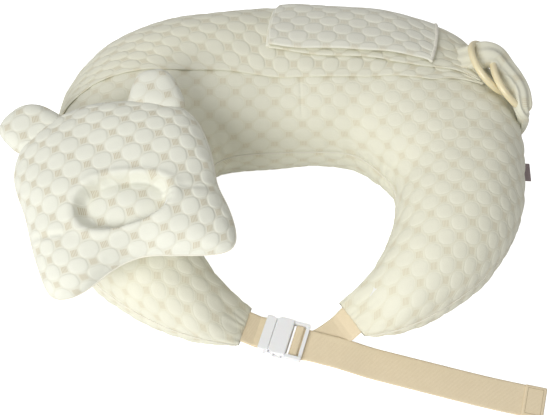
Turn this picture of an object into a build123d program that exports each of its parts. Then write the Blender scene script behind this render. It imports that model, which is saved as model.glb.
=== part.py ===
from build123d import *
from math import sin, cos, radians, degrees, hypot, asin
import os

# C-shaped travel cushion with a quilted cover, a zipped back seam, a cloth sling guard with two
# rings, a buckled belt between the arm tips, and a loose head pillow with two ears.
# Millimetres. It rests on z = 0. The middle of the back is at +Y, the arms reach toward -Y,
# and right is +X.

os.makedirs("parts", exist_ok=True)

# ---------------------------------------------------------------- cushion dimensions
# Plan points (x, y) at stations 0..8, from the middle of the back along the right arm.
# The left arm mirrors them at stations -1..-8. Stations 9 and -9 are the tips.
OUTER = [(0, 102), (71, 98.9), (144, 89), (230, 46), (280, -36),
         (287, -128), (266, -223), (205, -293), (132, -328)]
INNER = [(0, -106.5), (40, -107), (76, -112), (98, -127), (117, -148),
         (126, -172), (120.5, -208), (108, -238), (84, -267.5)]
# Outer and inner corner (x, y) of each tip
TIP_RIGHT = ((80.5, -327.5), (53.1, -280.0))
TIP_LEFT = ((-69.5, -334.0), (-52.5, -283.0))
# Heights at stations 0..9, the same on both arms
SEAM_Z = [82, 82, 81, 79, 76, 73, 67, 55, 36, 13]      # side seams above the floor
CROWN = [85, 85, 84, 82, 79, 76, 70, 58, 40, 5.6]      # crown above the seam
LAST_STATION = 9
SQUARENESS = 0.9       # exponent of the section's superellipse, 1 = ellipse
COVER_T = 2.0
BAG_T = 0.8
SKIN_GAP = 0.9         # between cover, bag and fill
SEAM_HALF_GAP = 0.03   # each half skin stands off the seam plane by this

# Section angles: 0 = outer seam, 90 = crown, 180 = inner seam
UPPER_ANGLES = [0, 12, 26, 42, 58, 74, 90, 106, 122, 138, 154, 168, 180]
LOWER_FRACTIONS = [0, 0.2, 0.42, 0.66, 0.85, 1.0]      # of the angle from seam to flat base

HALF_STATIONS = [0, 1, 2, 2.5, 3, 3.5, 4, 5, 6, 6.5, 7, 7.5, 8, 8.25, 8.5, 8.75, 9]
COVER_STATIONS = [-k for k in HALF_STATIONS[:0:-1]] + HALF_STATIONS
INNER_STATIONS = [k for k in COVER_STATIONS if abs(k) <= 8.5]

BELOW_FLOOR = Pos(0, -100, -50) * Box(900, 900, 100)


# ---------------------------------------------------------------- curves through tables
def natural_spline(values):
    """Natural cubic through values at whole stations, the first at -LAST_STATION."""
    n = len(values)
    ratio, partial = [0.0] * n, [0.0] * n
    for i in range(1, n - 1):
        bend = 3 * (values[i + 1] - values[i]) - 3 * (values[i] - values[i - 1])
        pivot = 4 - ratio[i - 1]
        ratio[i] = 1 / pivot
        partial[i] = (bend - partial[i - 1]) / pivot
    square = [0.0] * n
    for i in range(n - 2, -1, -1):
        square[i] = partial[i] - ratio[i] * square[i + 1]

    def curve(station):
        i = min(int(station + LAST_STATION), n - 2)
        t = station + LAST_STATION - i
        slope = values[i + 1] - values[i] - (square[i + 1] + 2 * square[i]) / 3
        cube = (square[i + 1] - square[i]) / 3
        return values[i] + slope * t + square[i] * t * t + cube * t ** 3
    return curve


def monotone(xs, ys):
    """Cubic through the points that never overshoots them, held constant past the ends."""
    last = len(xs) - 1
    secants = [(ys[i + 1] - ys[i]) / (xs[i + 1] - xs[i]) for i in range(last)]
    slopes = [secants[0]]
    for before, after in zip(secants, secants[1:]):
        slopes.append(0.0 if before * after <= 0 else 2 * before * after / (before + after))
    slopes.append(secants[-1])

    def curve(x):
        if x <= xs[0]:
            return ys[0]
        if x >= xs[-1]:
            return ys[-1]
        i = 0
        while x > xs[i + 1]:
            i += 1
        span = xs[i + 1] - xs[i]
        t = (x - xs[i]) / span
        return ((2 * t ** 3 - 3 * t * t + 1) * ys[i]
                + (t ** 3 - 2 * t * t + t) * span * slopes[i]
                + (-2 * t ** 3 + 3 * t * t) * ys[i + 1]
                + (t ** 3 - t * t) * span * slopes[i + 1])
    return curve


def constant(value):
    return lambda station: value


def plan_curve(points, left_tip, right_tip):
    """Edge of the cushion in plan, as a function from station to (x, y)."""
    mirrored = [(-x, y) for x, y in points[:0:-1]]
    edge = [left_tip] + mirrored + points + [right_tip]
    curve_x = natural_spline([x for x, y in edge])
    curve_y = natural_spline([y for x, y in edge])
    return lambda station: (curve_x(station), curve_y(station))


outer_edge = plan_curve(OUTER, TIP_LEFT[0], TIP_RIGHT[0])
inner_edge = plan_curve(INNER, TIP_LEFT[1], TIP_RIGHT[1])
seam_curve = monotone(list(range(10)), SEAM_Z)
crown_curve = monotone(list(range(10)), CROWN)


# ---------------------------------------------------------------- cushion sections
def chord(k):
    """Middle, inner-to-outer direction and half width of the cushion at station k."""
    (ox, oy), (ix, iy) = outer_edge(k), inner_edge(k)
    width = hypot(ox - ix, oy - iy)
    return ((ox + ix) / 2, (oy + iy) / 2), ((ox - ix) / width, (oy - iy) / width), width / 2


def section_plane(k):
    """Upright plane across the cushion: x outward, y up."""
    middle, across, _ = chord(k)
    return Plane(origin=(*middle, 0), x_dir=(*across, 0), z_dir=(across[1], -across[0], 0))


def section_point(k, angle, offset=0.0):
    """Point (x, height) of the section at an angle, offset outward from the surface."""
    def rounded(size, ratio):
        return size * (1 if ratio >= 0 else -1) * abs(ratio) ** SQUARENESS
    x = rounded(chord(k)[2] + offset, cos(radians(angle)))
    rise = rounded(crown_curve(abs(k)) + offset, sin(radians(angle)))
    return x, seam_curve(abs(k)) + rise


def surface_point(k, angle, offset=0.0):
    """The same point in space."""
    middle, across, _ = chord(k)
    x, z = section_point(k, angle, offset)
    return Vector(middle[0] + across[0] * x, middle[1] + across[1] * x, z)


def base_angle(k, offset):
    """Angle below the seam at which the flat base begins."""
    crown = crown_curve(abs(k))
    drop = min(seam_curve(abs(k)), 0.965 * crown) + offset
    ratio = min(drop / (crown + offset), 0.985)
    return degrees(asin(ratio ** (1 / SQUARENESS)))


def upper_points(k, offset, lift=0.0):
    points = [section_point(k, angle, offset) for angle in UPPER_ANGLES]
    return [(x, z + lift) for x, z in points]


def lower_points(k, offset, lift=0.0):
    """Outer side down from its seam, then inner side up to its seam."""
    base = base_angle(k, offset)
    outer = [section_point(k, -base * q, offset) for q in LOWER_FRACTIONS]
    inner = [section_point(k, -180 + base * q, offset) for q in reversed(LOWER_FRACTIONS)]
    return [(x, z + lift) for x, z in outer], [(x, z + lift) for x, z in inner]


def upper_band(k, outside, inside):
    out = upper_points(k, outside, SEAM_HALF_GAP)
    back = upper_points(k, inside, SEAM_HALF_GAP)
    with BuildSketch(section_plane(k)) as band:
        with BuildLine():
            Spline(*out)
            Line(out[-1], back[-1])
            Spline(*reversed(back))
            Line(back[0], out[0])
        make_face()
    return band.sketch


def lower_band(k, outside, inside):
    out_1, out_2 = lower_points(k, outside, -SEAM_HALF_GAP)
    back_1, back_2 = lower_points(k, inside, -SEAM_HALF_GAP)
    with BuildSketch(section_plane(k)) as band:
        with BuildLine():
            Spline(*out_1)
            Line(out_1[-1], out_2[0])
            Spline(*out_2)
            Line(out_2[-1], back_2[-1])
            Spline(*reversed(back_2))
            Line(back_2[0], back_1[-1])
            Spline(*reversed(back_1))
            Line(back_1[0], out_1[0])
        make_face()
    return band.sketch


def full_section(k, offset):
    upper = upper_points(k, offset)
    lower_1, lower_2 = lower_points(k, offset)
    with BuildSketch(section_plane(k)) as section:
        with BuildLine():
            Spline(*upper)
            Spline(*reversed(lower_2))
            Line(lower_2[0], lower_1[-1])
            Spline(*reversed(lower_1))
        make_face()
    return section.sketch


def half_skin(band, stations, offset, thickness, cut=None):
    """Upper or lower half of a skin, with an optional solid cut away."""
    with BuildPart() as skin:
        for k in stations:
            add(band(k, offset, offset - thickness))
        loft()
        if cut is not None:
            add(cut, mode=Mode.SUBTRACT)
    return skin.part


def fibre_fill():
    with BuildPart() as fill:
        for k in INNER_STATIONS:
            add(full_section(k, -COVER_T - BAG_T - 2 * SKIN_GAP))
        loft()
    return fill.part


# ---------------------------------------------------------------- placing helpers
def box_at(size, *places, mode=Mode.ADD):
    with Locations(*places):
        Box(*size, mode=mode)


def cross_rod(radius, length, x, z, mode=Mode.ADD):
    """Cylinder lying along the y axis of the work plane."""
    with Locations(Location((x, 0, z), (90, 0, 0))):
        Cylinder(radius, length, mode=mode)


# ---------------------------------------------------------------- zip on the back seam
ZIP_R = 800.0                               # plan radius of the back seam
ZIP_CENTRE_Y = OUTER[0][1] - ZIP_R
ZIP_Z = SEAM_Z[0]
TAPE_R = ZIP_R + 1.3
TAPE_T = 0.7
TAPE_EDGES = (2.6, 13)                      # distances from the seam
ZIP_HALF_ANGLE = 9.0                        # degrees each side of the middle
COIL_HALF_ANGLE = ZIP_HALF_ANGLE - 0.2
STOP_ANGLE = ZIP_HALF_ANGLE - 0.02
SLIDER_ANGLE = 8.2
PIVOT_X, PIVOT_Z = 0, 5.7                   # pull pivot in the slider plane
PIVOT_R = 0.7

_slider = radians(SLIDER_ANGLE)
SLIDER_OUT = (sin(_slider), cos(_slider), 0)
SLIDER_ORIGIN = (TAPE_R * sin(_slider), ZIP_CENTRE_Y + TAPE_R * cos(_slider), ZIP_Z)
# x along the tape away from the middle, y down, z outward
SLIDER_PLANE = Plane(origin=SLIDER_ORIGIN, x_dir=(cos(_slider), -sin(_slider), 0),
                     z_dir=SLIDER_OUT)


def arc_strip(depths, heights, angles):
    """Upright curved band: depths from the tape radius, heights from the seam,
    angles from +Y toward +X."""
    def point(depth, angle):
        radius = TAPE_R + depth
        return radius * sin(radians(angle)), ZIP_CENTRE_Y + radius * cos(radians(angle))
    (near, far), (low, high), (start, end) = depths, heights, angles
    middle = (start + end) / 2
    with BuildSketch(Plane.XY.offset(ZIP_Z + low)) as strip:
        with BuildLine():
            ThreePointArc(point(near, start), point(near, middle), point(near, end))
            Line(point(near, end), point(far, end))
            ThreePointArc(point(far, end), point(far, middle), point(far, start))
            Line(point(far, start), point(near, start))
        make_face()
    return extrude(strip.sketch, amount=high - low)


def zip_tape(low, high):
    with BuildPart() as tape:
        add(arc_strip((0, TAPE_T), (low, high), (-ZIP_HALF_ANGLE, ZIP_HALF_ANGLE)))
    return tape.part


def zip_coil():
    """Flat base with two ridges."""
    with BuildPart() as coil:
        for depths, heights in [((0, 1.0), (-2.4, 2.4)),
                                ((1.0, 2.1), (-2.2, -0.35)),
                                ((1.0, 2.1), (0.35, 2.2))]:
            add(arc_strip(depths, heights, (-COIL_HALF_ANGLE, COIL_HALF_ANGLE)))
    return coil.part


def zip_stops():
    with BuildPart() as stops:
        for side in (-1, 1):
            angle = side * STOP_ANGLE
            add(arc_strip((0.8, 3.2), (-3.4, 3.4), (angle - 0.1, angle + 0.1)))
    return stops.part


def zip_slider():
    with BuildPart(SLIDER_PLANE) as slider:
        # Top plate and two side rails
        box_at((9, 9.4, 1.3), (0, 0, 3.1))
        box_at((8.4, 1.7, 2.0), (0, -3.85, 2.1), (0, 3.85, 2.1))
        flat_edges = slider.edges().filter_by(Plane(SLIDER_ORIGIN, z_dir=SLIDER_OUT))
        fillet(flat_edges.group_by(Axis(SLIDER_ORIGIN, SLIDER_OUT))[-1], 0.4)
        # Two lugs and the pivot between them
        box_at((3.4, 1.0, 3.4), (0, -3.6, 5.2), (0, 3.6, 5.2))
        cross_rod(PIVOT_R, 7.0, PIVOT_X, PIVOT_Z)
    return slider.part


def zip_pull():
    width = 5.6
    with BuildPart(SLIDER_PLANE) as pull:
        cross_rod(1.5, width, PIVOT_X, PIVOT_Z)
        box_at((17, width, 1.2), (-9, 0, PIVOT_Z))
        # Notch at the free end, then the pivot hole
        box_at((3, 2.4, 3), (-16.2, 0, PIVOT_Z), mode=Mode.SUBTRACT)
        cross_rod(PIVOT_R + 0.06, 8, PIVOT_X, PIVOT_Z, mode=Mode.SUBTRACT)
    return pull.part


# ---------------------------------------------------------------- sling rings
RING_R = 35.5          # to the middle of the rod
RING_ROD = 4.2         # rod radius
RING_GAP = 0.3
CLOTH_LOOP_T = 1.3
TAB_T = 1.6
# Centre and normal of each ring
FRONT_RING = ((249.3, -37.6, 150.7), (0.687, 0.063, 0.724))
REAR_RING = ((273.7, -57.2, 141.9), (0.702, 0.050, 0.710))


def ring_torus(ring, rod_radius):
    centre, normal = ring
    return Plane(origin=centre, z_dir=normal) * Torus(RING_R, rod_radius)


def ring_body(ring):
    torus = ring_torus(ring, RING_ROD)
    with BuildPart() as body:
        add(torus)
    return body.part


def ring_normal(ring):
    return Vector(*ring[1]).normalized()


def ring_direction(ring, angle):
    """Unit vector from the ring's centre; angle 0 is level."""
    normal = ring_normal(ring)
    level = Vector(-normal.Y, normal.X, 0).normalized()
    return level * cos(radians(angle)) + normal.cross(level) * sin(radians(angle))


# ---------------------------------------------------------------- cloth on the cushion
def cloth_strip(stations, low, high, inside, outside):
    """Cloth on the cushion between two angle curves and two offsets."""
    steps = 8
    with BuildPart() as cloth:
        for k in stations:
            start, end = low(k), high(k)
            angles = [start + (end - start) * j / steps for j in range(steps + 1)]
            outer = [section_point(k, angle, outside) for angle in angles]
            inner = [section_point(k, angle, inside) for angle in angles]
            with BuildSketch(section_plane(k)):
                with BuildLine():
                    Spline(*outer)
                    Line(outer[-1], inner[-1])
                    Spline(*reversed(inner))
                    Line(inner[0], outer[0])
                make_face()
        loft()
    return cloth.part


def cloth_loop(ring, angle, span):
    """Part of a hollow torus round the ring's rod, span degrees long about the angle."""
    centre, _ = ring
    normal = ring_normal(ring)
    radial = ring_direction(ring, angle - span / 2)
    start = Plane(origin=Vector(*centre) + radial * RING_R, x_dir=radial,
                  z_dir=normal.cross(radial))
    bore = RING_ROD + RING_GAP
    with BuildSketch(start) as section:
        Circle(bore + CLOTH_LOOP_T)
        Circle(bore, mode=Mode.SUBTRACT)
    return revolve(section.sketch, axis=Axis(centre, normal), revolution_arc=span)


def cloth_tab(ring, ring_angle, drop, k, angle, offset, ring_width, cushion_width):
    """Tapered strip from under the rod to the cushion, turning until it lies flat there."""
    start = (Vector(*ring[0]) + ring_direction(ring, ring_angle) * RING_R
             - ring_normal(ring) * drop)
    end = surface_point(k, angle, offset)
    along = (end - start).normalized()
    side = ring_direction(ring, ring_angle + 90)
    side = (side - along * side.dot(along)).normalized()
    surface_normal = (surface_point(k + 0.01, angle, offset) - end).cross(
        surface_point(k, angle + 1, offset) - end)
    end_side = surface_normal.cross(along).normalized()
    if end_side.dot(side) < 0:
        end_side = end_side * -1
    with BuildPart() as tab:
        with BuildSketch(Plane(origin=start, x_dir=side, z_dir=along)):
            Rectangle(ring_width, TAB_T)
        with BuildSketch(Plane(origin=end, x_dir=end_side, z_dir=along)):
            Rectangle(cushion_width, TAB_T)
        loft()
    return tab.part


def joined_cloth(pieces):
    """Fuse the pieces, clear both ring rods and keep the largest solid."""
    body = pieces[0]
    for piece in pieces[1:]:
        body = body + piece
    for ring in (FRONT_RING, REAR_RING):
        body = body - ring_torus(ring, RING_ROD + RING_GAP)
    largest = max(body.solids(), key=lambda solid: solid.volume)
    with BuildPart() as cloth:
        add(largest)
    return cloth.part


# Edge curves of the guard layers: stations, then section angles in degrees
BAND_STATIONS = [-4.35, -4.1, -3.8, -3.4, -2.9, -2.3, -1.5, -0.7,
                 0, 0.8, 1.6, 2.2, 2.8, 3.2, 3.6, 3.95]
BAND_LOW = monotone([-4.35, -3.9, -3.4, -2.5, 0, 2.0, 2.8, 3.3, 3.7, 3.95],
                    [2, 10, 20, 27, 29, 30, 34, 42, 50, 53])
BAND_HIGH = monotone(
    [-4.35, -3.9, -3.4, -2.95, -2.1, -0.9, 0.05, 1.0, 1.85, 2.6, 3.3, 3.7, 3.95],
    [33, 55, 76, 88, 103, 112, 116, 116, 114, 106, 94, 78, 66])
SECOND_STATIONS = [-0.42, 0, 0.8, 1.6, 2.4, 3.1, 3.6, 3.95]
SECOND_LOW = monotone([-0.42, 1.0, 2.4, 3.1, 3.6, 3.95], [43, 40, 42, 44, 49, 53])
SECOND_HIGH = monotone([-0.42, 1.0, 2.4, 3.1, 3.6, 3.95], [95, 101, 98, 90, 76, 66])
TOP_STATIONS = [-0.42, 0, 0.8, 1.6, 2.4, 3.05]
TOP_LOW = monotone([-0.42, 0.4, 1.5, 2.6, 3.05], [44, 41, 42, 48, 52])
TOP_HIGH = monotone([-0.42, 0.4, 1.5, 2.6, 3.05], [94, 97, 97, 92, 88])
HOLDER_STATIONS = [4.3, 4.5, 4.85]
HOLDER_HIGH = monotone(HOLDER_STATIONS, [46, 46, 40])

# Angles round the rings where the cloth is looped
BAND_FRONT_ANGLE, BAND_REAR_ANGLE = 110, 75
HOLDER_FRONT_ANGLE, HOLDER_REAR_ANGLE = 225, 200


def guard_band():
    """Three cloth layers across the back, folded together, with a tab to each ring."""
    return joined_cloth([
        cloth_strip(BAND_STATIONS, BAND_LOW, BAND_HIGH, 0.5, 1.7),
        cloth_strip(SECOND_STATIONS, SECOND_LOW, SECOND_HIGH, 2.0, 3.2),
        # Turn at the right end, joining the first two layers
        cloth_strip([3.84, 3.88, 3.92], constant(55), constant(63), 1.0, 2.8),
        cloth_strip(TOP_STATIONS, TOP_LOW, TOP_HIGH, 3.5, 4.9),
        # Fold near the middle of the back, joining the upper two layers
        cloth_strip([-0.50, -0.42, -0.34], constant(46), constant(92), 2.3, 4.6),
        cloth_tab(FRONT_RING, BAND_FRONT_ANGLE, drop=5.0, k=3.65, angle=66, offset=1.8,
                  ring_width=34, cushion_width=30),
        cloth_loop(FRONT_RING, BAND_FRONT_ANGLE, span=62),
        cloth_tab(REAR_RING, BAND_REAR_ANGLE, drop=5.0, k=3.85, angle=58, offset=1.8,
                  ring_width=30, cushion_width=26),
        cloth_loop(REAR_RING, BAND_REAR_ANGLE, span=56),
    ])


def ring_holder():
    """Cloth patch on the right arm with a tab to each ring."""
    return joined_cloth([
        cloth_strip(HOLDER_STATIONS, constant(1), HOLDER_HIGH, 0.6, 2.7),
        cloth_tab(FRONT_RING, HOLDER_FRONT_ANGLE, drop=4.6, k=4.40, angle=38, offset=1.8,
                  ring_width=28, cushion_width=28),
        cloth_loop(FRONT_RING, HOLDER_FRONT_ANGLE, span=46),
        cloth_tab(REAR_RING, HOLDER_REAR_ANGLE, drop=5.0, k=4.60, angle=34, offset=2.0,
                  ring_width=24, cushion_width=22),
        cloth_loop(REAR_RING, HOLDER_REAR_ANGLE, span=46),
    ])


def side_label():
    """Small flat tag standing out from the right side seam."""
    start, end = surface_point(4.98, 0), surface_point(5.28, 0)
    along = Vector(end.X - start.X, end.Y - start.Y, 0).normalized()
    # x along the seam toward the tip, y up, z into the cushion
    plane = Plane(origin=(start.X, start.Y, seam_curve(5.1) - 1.5), x_dir=along,
                  z_dir=(along.Y, -along.X, 0))
    with BuildPart(plane) as label:
        box_at((27, 0.9, 9.6), (13, 0, -5.2))
    return label.part


# ---------------------------------------------------------------- belt and buckle dimensions
WEB_W = 40.0
WEB_T = 1.4
HEM_GAP = 0.02
TAIL_END = 333.0                    # along the buckle axis
LEG_START = 54.4
WEB_LOW_Z = 4.05                    # webbing passing under the adjuster

BUCKLE_ORIGIN = (-39.7, -315.0)
BUCKLE_ANGLE = radians(-18.2)       # buckle axis from +X
AXIS_X, AXIS_Y = cos(BUCKLE_ANGLE), sin(BUCKLE_ANGLE)
BUCKLE_AXIS = Axis((*BUCKLE_ORIGIN, 0), (AXIS_X, AXIS_Y, 0))
# Flat plane: x along the belt to the right, y toward the rear, z up
BUCKLE = Plane(origin=(*BUCKLE_ORIGIN, 0), x_dir=(AXIS_X, AXIS_Y, 0), z_dir=(0, 0, 1))
# Side plane: x along the belt, y up
BELT_SIDE = Plane(origin=(*BUCKLE_ORIGIN, 0), x_dir=(AXIS_X, AXIS_Y, 0),
                  z_dir=(AXIS_Y, -AXIS_X, 0))

BUCKLE_Z = 8.0                      # mid height of the plug, arms and bar
SOCKET_Z = 8.4
PLUG_L, PLUG_W = 12.2, 46.4
SOCKET_W = 49.0
BAR_X, BAR_R = 4.5, 1.6
ARM_X, ARM_Y = 10.7, 16.6           # arm pivot; y on either side
NOTCH_X, NOTCH_Y, NOTCH_R = 12.3, 26.6, 5.4    # round notches at the plug-socket joint
NOTCH_H = 14
# Hooked end of the rear arm (x, y); the front arm mirrors y
ARM_HOOK = [(19.0, 15.2), (29.8, 15.2), (29.8, 18.4), (28.6, 20.4),
            (28.4, 24.0), (26.8, 24.3), (20.6, 21.6), (19.0, 19.0)]


# ---------------------------------------------------------------- buckle
def buckle_plug():
    with BuildPart(BUCKLE) as plug:
        # Hollow hood, with the strap bar across it
        box_at((PLUG_L, PLUG_W, 11), (PLUG_L / 2, 0, BUCKLE_Z))
        fillet(plug.edges().filter_by(Axis.Z), 1.6)
        fillet(plug.faces().sort_by(Axis.Z)[-1].edges(), 1.3)
        box_at((11.2, 42.0, 12.6), (3.3, 0, 5.2), mode=Mode.SUBTRACT)
        cross_rod(BAR_R, 43.5, BAR_X, BUCKLE_Z)
        with Locations((NOTCH_X, -NOTCH_Y, BUCKLE_Z), (NOTCH_X, NOTCH_Y, BUCKLE_Z)):
            Cylinder(NOTCH_R, NOTCH_H, mode=Mode.SUBTRACT)
        # Centre tongue
        box_at((18.8, 11.0, 4.6), (20.6, 0, BUCKLE_Z))
        # Sockets for the arm pivots
        with Locations((ARM_X, -ARM_Y, BUCKLE_Z), (ARM_X, ARM_Y, BUCKLE_Z)):
            Cylinder(2.6, 7.5, mode=Mode.SUBTRACT)
    return plug.part


def buckle_arm(side):
    """Pivoted arm with a hooked end; side is 1 for the rear arm, -1 for the front."""
    hook_height = 5.4
    with BuildPart(BUCKLE) as arm:
        with Locations((ARM_X, side * ARM_Y, BUCKLE_Z)):
            Cylinder(2.52, 5.8)
        box_at((9.8, 3.2, hook_height), (15.6, side * ARM_Y, BUCKLE_Z))
        with BuildSketch(BUCKLE.offset(BUCKLE_Z - hook_height / 2)):
            with BuildLine():
                Polyline(*[(x, side * y) for x, y in ARM_HOOK], close=True)
            make_face()
        extrude(amount=hook_height)
    return arm.part


def buckle_socket():
    frame_x, frame_y = 42.2, 22.5
    with BuildPart(BUCKLE) as socket:
        box_at((20.9, SOCKET_W, 11.4), (22.95, 0, SOCKET_Z))
        fillet(socket.edges().filter_by(Axis.Z), 2.2)
        fillet(socket.faces().sort_by(Axis.Z)[-1].edges(), 1.6)
        box_at((21.4, 43.6, 7.2), (20.9, 0, BUCKLE_Z), mode=Mode.SUBTRACT)
        # Side windows for the arm hooks, and side notches
        for side in (-1, 1):
            box_at((10.6, 6.0, 6.4), (24.6, side * 23.5, BUCKLE_Z), mode=Mode.SUBTRACT)
            with Locations((NOTCH_X, side * NOTCH_Y, SOCKET_Z)):
                Cylinder(NOTCH_R, NOTCH_H, mode=Mode.SUBTRACT)
        # Adjuster frame: two side rails, middle bar, end bar
        box_at((20.0, 3.6, 7.2), (frame_x, frame_y, SOCKET_Z), (frame_x, -frame_y, SOCKET_Z))
        box_at((6.4, 44.0, 3.2), (41.2, 0, 6.5))
        box_at((4.0, 48.4, 4.0), (50.2, 0, 8.6))
        fillet(socket.edges().filter_by(Axis.Z).group_by(BUCKLE_AXIS)[-1], 1.6)
    return socket.part


# ---------------------------------------------------------------- straps
def thicken(path, thickness):
    """Closed outline of a strip along a polyline path."""
    left, right = [], []
    for i, (x, y) in enumerate(path):
        x0, y0 = path[max(i - 1, 0)]
        x1, y1 = path[min(i + 1, len(path) - 1)]
        length = hypot(x1 - x0, y1 - y0)
        nx, ny = -(y1 - y0) / length, (x1 - x0) / length
        left.append((x + nx * thickness / 2, y + ny * thickness / 2))
        right.append((x - nx * thickness / 2, y - ny * thickness / 2))
    return left + right[::-1]


def arc_points(cx, cy, radius, start, end, steps):
    angles = [radians(start + (end - start) * i / steps) for i in range(steps + 1)]
    return [(cx + radius * cos(a), cy + radius * sin(a)) for a in angles]


def web_strip(path, thickness=WEB_T, plane=BELT_SIDE, half_width=WEB_W / 2):
    """Webbing that follows a side-view path."""
    with BuildSketch(plane) as section:
        with BuildLine():
            Polyline(*thicken(path, thickness), close=True)
        make_face()
    return extrude(section.sketch, amount=half_width, both=True)


def short_strap():
    """Doubled webbing from inside the left tip round the bar of the plug."""
    entry_x, entry_y = -60.5, -308.3        # where it enters the left tip
    entry = (entry_x - BUCKLE_ORIGIN[0]) * AXIS_X + (entry_y - BUCKLE_ORIGIN[1]) * AXIS_Y
    loop = arc_points(BAR_X, BUCKLE_Z, BAR_R + 0.25 + WEB_T / 2, -125, 125, 20)
    path = ([(entry - 6, 12.0), (entry + 2, 11.6), (entry + 8, 9.6), (-7, 7.2),
             (0, BUCKLE_Z - 1.7)]
            + loop
            + [(0, BUCKLE_Z + 1.7), (-7, 8.95), (entry + 8, 11.35), (entry + 2, 13.25),
               (entry - 6, 13.6)])
    with BuildPart() as strap:
        add(web_strip(path))
    return strap.part


def tip_leg():
    """Leg from the adjuster to the right tip: its plan shape cut from a rising sheet."""
    (outer_x, outer_y), (inner_x, inner_y) = TIP_RIGHT
    width = hypot(outer_x - inner_x, outer_y - inner_y)
    across_x, across_y = (outer_x - inner_x) / width, (outer_y - inner_y) / width
    into_x, into_y = -across_y, across_x    # into the tip
    mid_x, mid_y = (outer_x + inner_x) / 2, (outer_y + inner_y) / 2

    def belt_point(x, y):
        return (BUCKLE_ORIGIN[0] + x * AXIS_X - y * AXIS_Y,
                BUCKLE_ORIGIN[1] + x * AXIS_Y + y * AXIS_X)

    def tip_point(across, into):
        return (mid_x + across_x * across + into_x * into,
                mid_y + across_y * across + into_y * into)
    half = WEB_W / 2
    inside = 9                              # length hidden in the tip
    start_front, start_rear = belt_point(LEG_START, -half), belt_point(LEG_START, half)
    tip_outer, tip_inner = tip_point(half, 0), tip_point(-half, 0)
    end_outer, end_inner = tip_point(half, inside), tip_point(-half, inside)
    with BuildPart() as plan:
        with BuildSketch(Plane.XY):
            with BuildLine():
                Line(start_front, start_rear)
                Spline(start_rear, tip_inner,
                       tangents=[(AXIS_X, AXIS_Y + 0.25), (into_x, into_y)])
                Line(tip_inner, end_inner)
                Line(end_inner, end_outer)
                Line(end_outer, tip_outer)
                Spline(tip_outer, start_front,
                       tangents=[(-into_x, -into_y), (-AXIS_X, -AXIS_Y)])
            make_face()
        extrude(amount=30)
    # Side view: distance into the tip, height
    rise = [(-90, WEB_LOW_Z), (-20.5, WEB_LOW_Z), (-17, WEB_LOW_Z + 0.3),
            (-12, WEB_LOW_Z + 2.4), (-6, WEB_LOW_Z + 6.6), (-2, WEB_LOW_Z + 8.6),
            (1, SEAM_Z[-1]), (12, SEAM_Z[-1])]
    side_view = Plane(origin=(mid_x, mid_y, 0), x_dir=(into_x, into_y, 0),
                      z_dir=(into_y, -into_x, 0))
    sheet = web_strip(rise, plane=side_view, half_width=90)
    return plan.part & sheet


def long_strap():
    """Webbing from the right tip round the adjuster's middle bar to a tail on the floor."""
    # Side view: distance along the belt, height
    wrap = ([(54.5, WEB_LOW_Z), (46.0, WEB_LOW_Z), (38.6, WEB_LOW_Z)]
            + arc_points(38.2, WEB_LOW_Z + 1.3, 1.3, 262, 178, 4)
            + [(36.9, 7.6)]
            + arc_points(38.2, 7.9, 1.3, 180, 92, 5)
            + [(39.5, 9.2), (43.6, 9.2)]
            + arc_points(44.2, 7.9, 1.3, 88, 0, 5)
            + [(45.5, 7.2)]
            + arc_points(46.8, 6.9, 1.35, 182, 268, 4)
            + [(52.0, 5.55), (64, 5.55), (90, 5.55), (100, 5.2), (112, 3.6), (122, 1.7),
               (130, 0.85), (140, WEB_T / 2), (TAIL_END, WEB_T / 2)])
    hem_z = 1.5 * WEB_T + HEM_GAP
    fold_z = WEB_T + HEM_GAP / 2
    leg = tip_leg()
    with BuildPart() as strap:
        add(web_strip(wrap))
        # Hem on the tail, then the fold that closes its end
        add(web_strip([(TAIL_END - 24, hem_z), (TAIL_END + 0.6, hem_z)]))
        add(web_strip([(TAIL_END - 0.2, fold_z), (TAIL_END + 1.2, fold_z)], 2 * fold_z))
        add(leg)
    return strap.part


def strap_bartacks():
    """Rectangle of stitching on the tail's hem."""
    stitch_w, stitch_h = 0.9, 0.6
    length, centre = 16, TAIL_END - 12
    z = 2 * WEB_T + HEM_GAP + stitch_h / 2
    with BuildPart(BUCKLE) as stitches:
        box_at((stitch_w, 34, stitch_h),
               (centre + length / 2, 0, z), (centre - length / 2, 0, z))
        box_at((length + stitch_w, stitch_w, stitch_h), (centre, 16.5, z), (centre, -16.5, z))
    return stitches.part


# ---------------------------------------------------------------- head pillow
# x to the pillow's right, y toward its ears, z out of its top
HEAD = Plane(origin=(-185.0, -205.0, 170.0), x_dir=(0.9907, -0.0283, 0.1332),
             z_dir=(-0.1362, -0.2060, 0.9690))
HEAD_UP, HEAD_DOWN = 26.0, 19.0     # height and depth from the seam plane
HEAD_T = 1.6                        # cover thickness
HEAD_FILL_GAP = 0.3
HEAD_RADIUS = 105.0                 # turns a shrink in mm into a scale factor
COVER_SHRINK = 2 * HEAD_T
FILL_SHRINK = COVER_SHRINK + 1.0

# Outlines (x, y) in the pillow plane
HEAD_OUTLINE = [(-77, 86), (-108, 66), (-125, 40), (-127, 5), (-114, -32), (-104, -68),
                (-93, -98), (-80, -125), (-62, -131), (-40, -123), (-14, -104), (17, -91),
                (50, -91), (84, -94), (112, -92), (121, -78), (113, -45), (102, -18),
                (97, 12), (86, 50), (66, 79), (34, 93), (-2, 97), (-39, 97)]
EAR_LEFT = [(-70, 80), (-88, 98), (-108, 108), (-128, 105), (-145, 92),
            (-150, 76), (-140, 60), (-122, 46), (-100, 50), (-82, 64)]
EAR_RIGHT = [(0, 90), (4, 112), (13, 130), (31, 135), (48, 129),
             (60, 108), (66, 82), (50, 72), (30, 74), (12, 80)]
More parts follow.
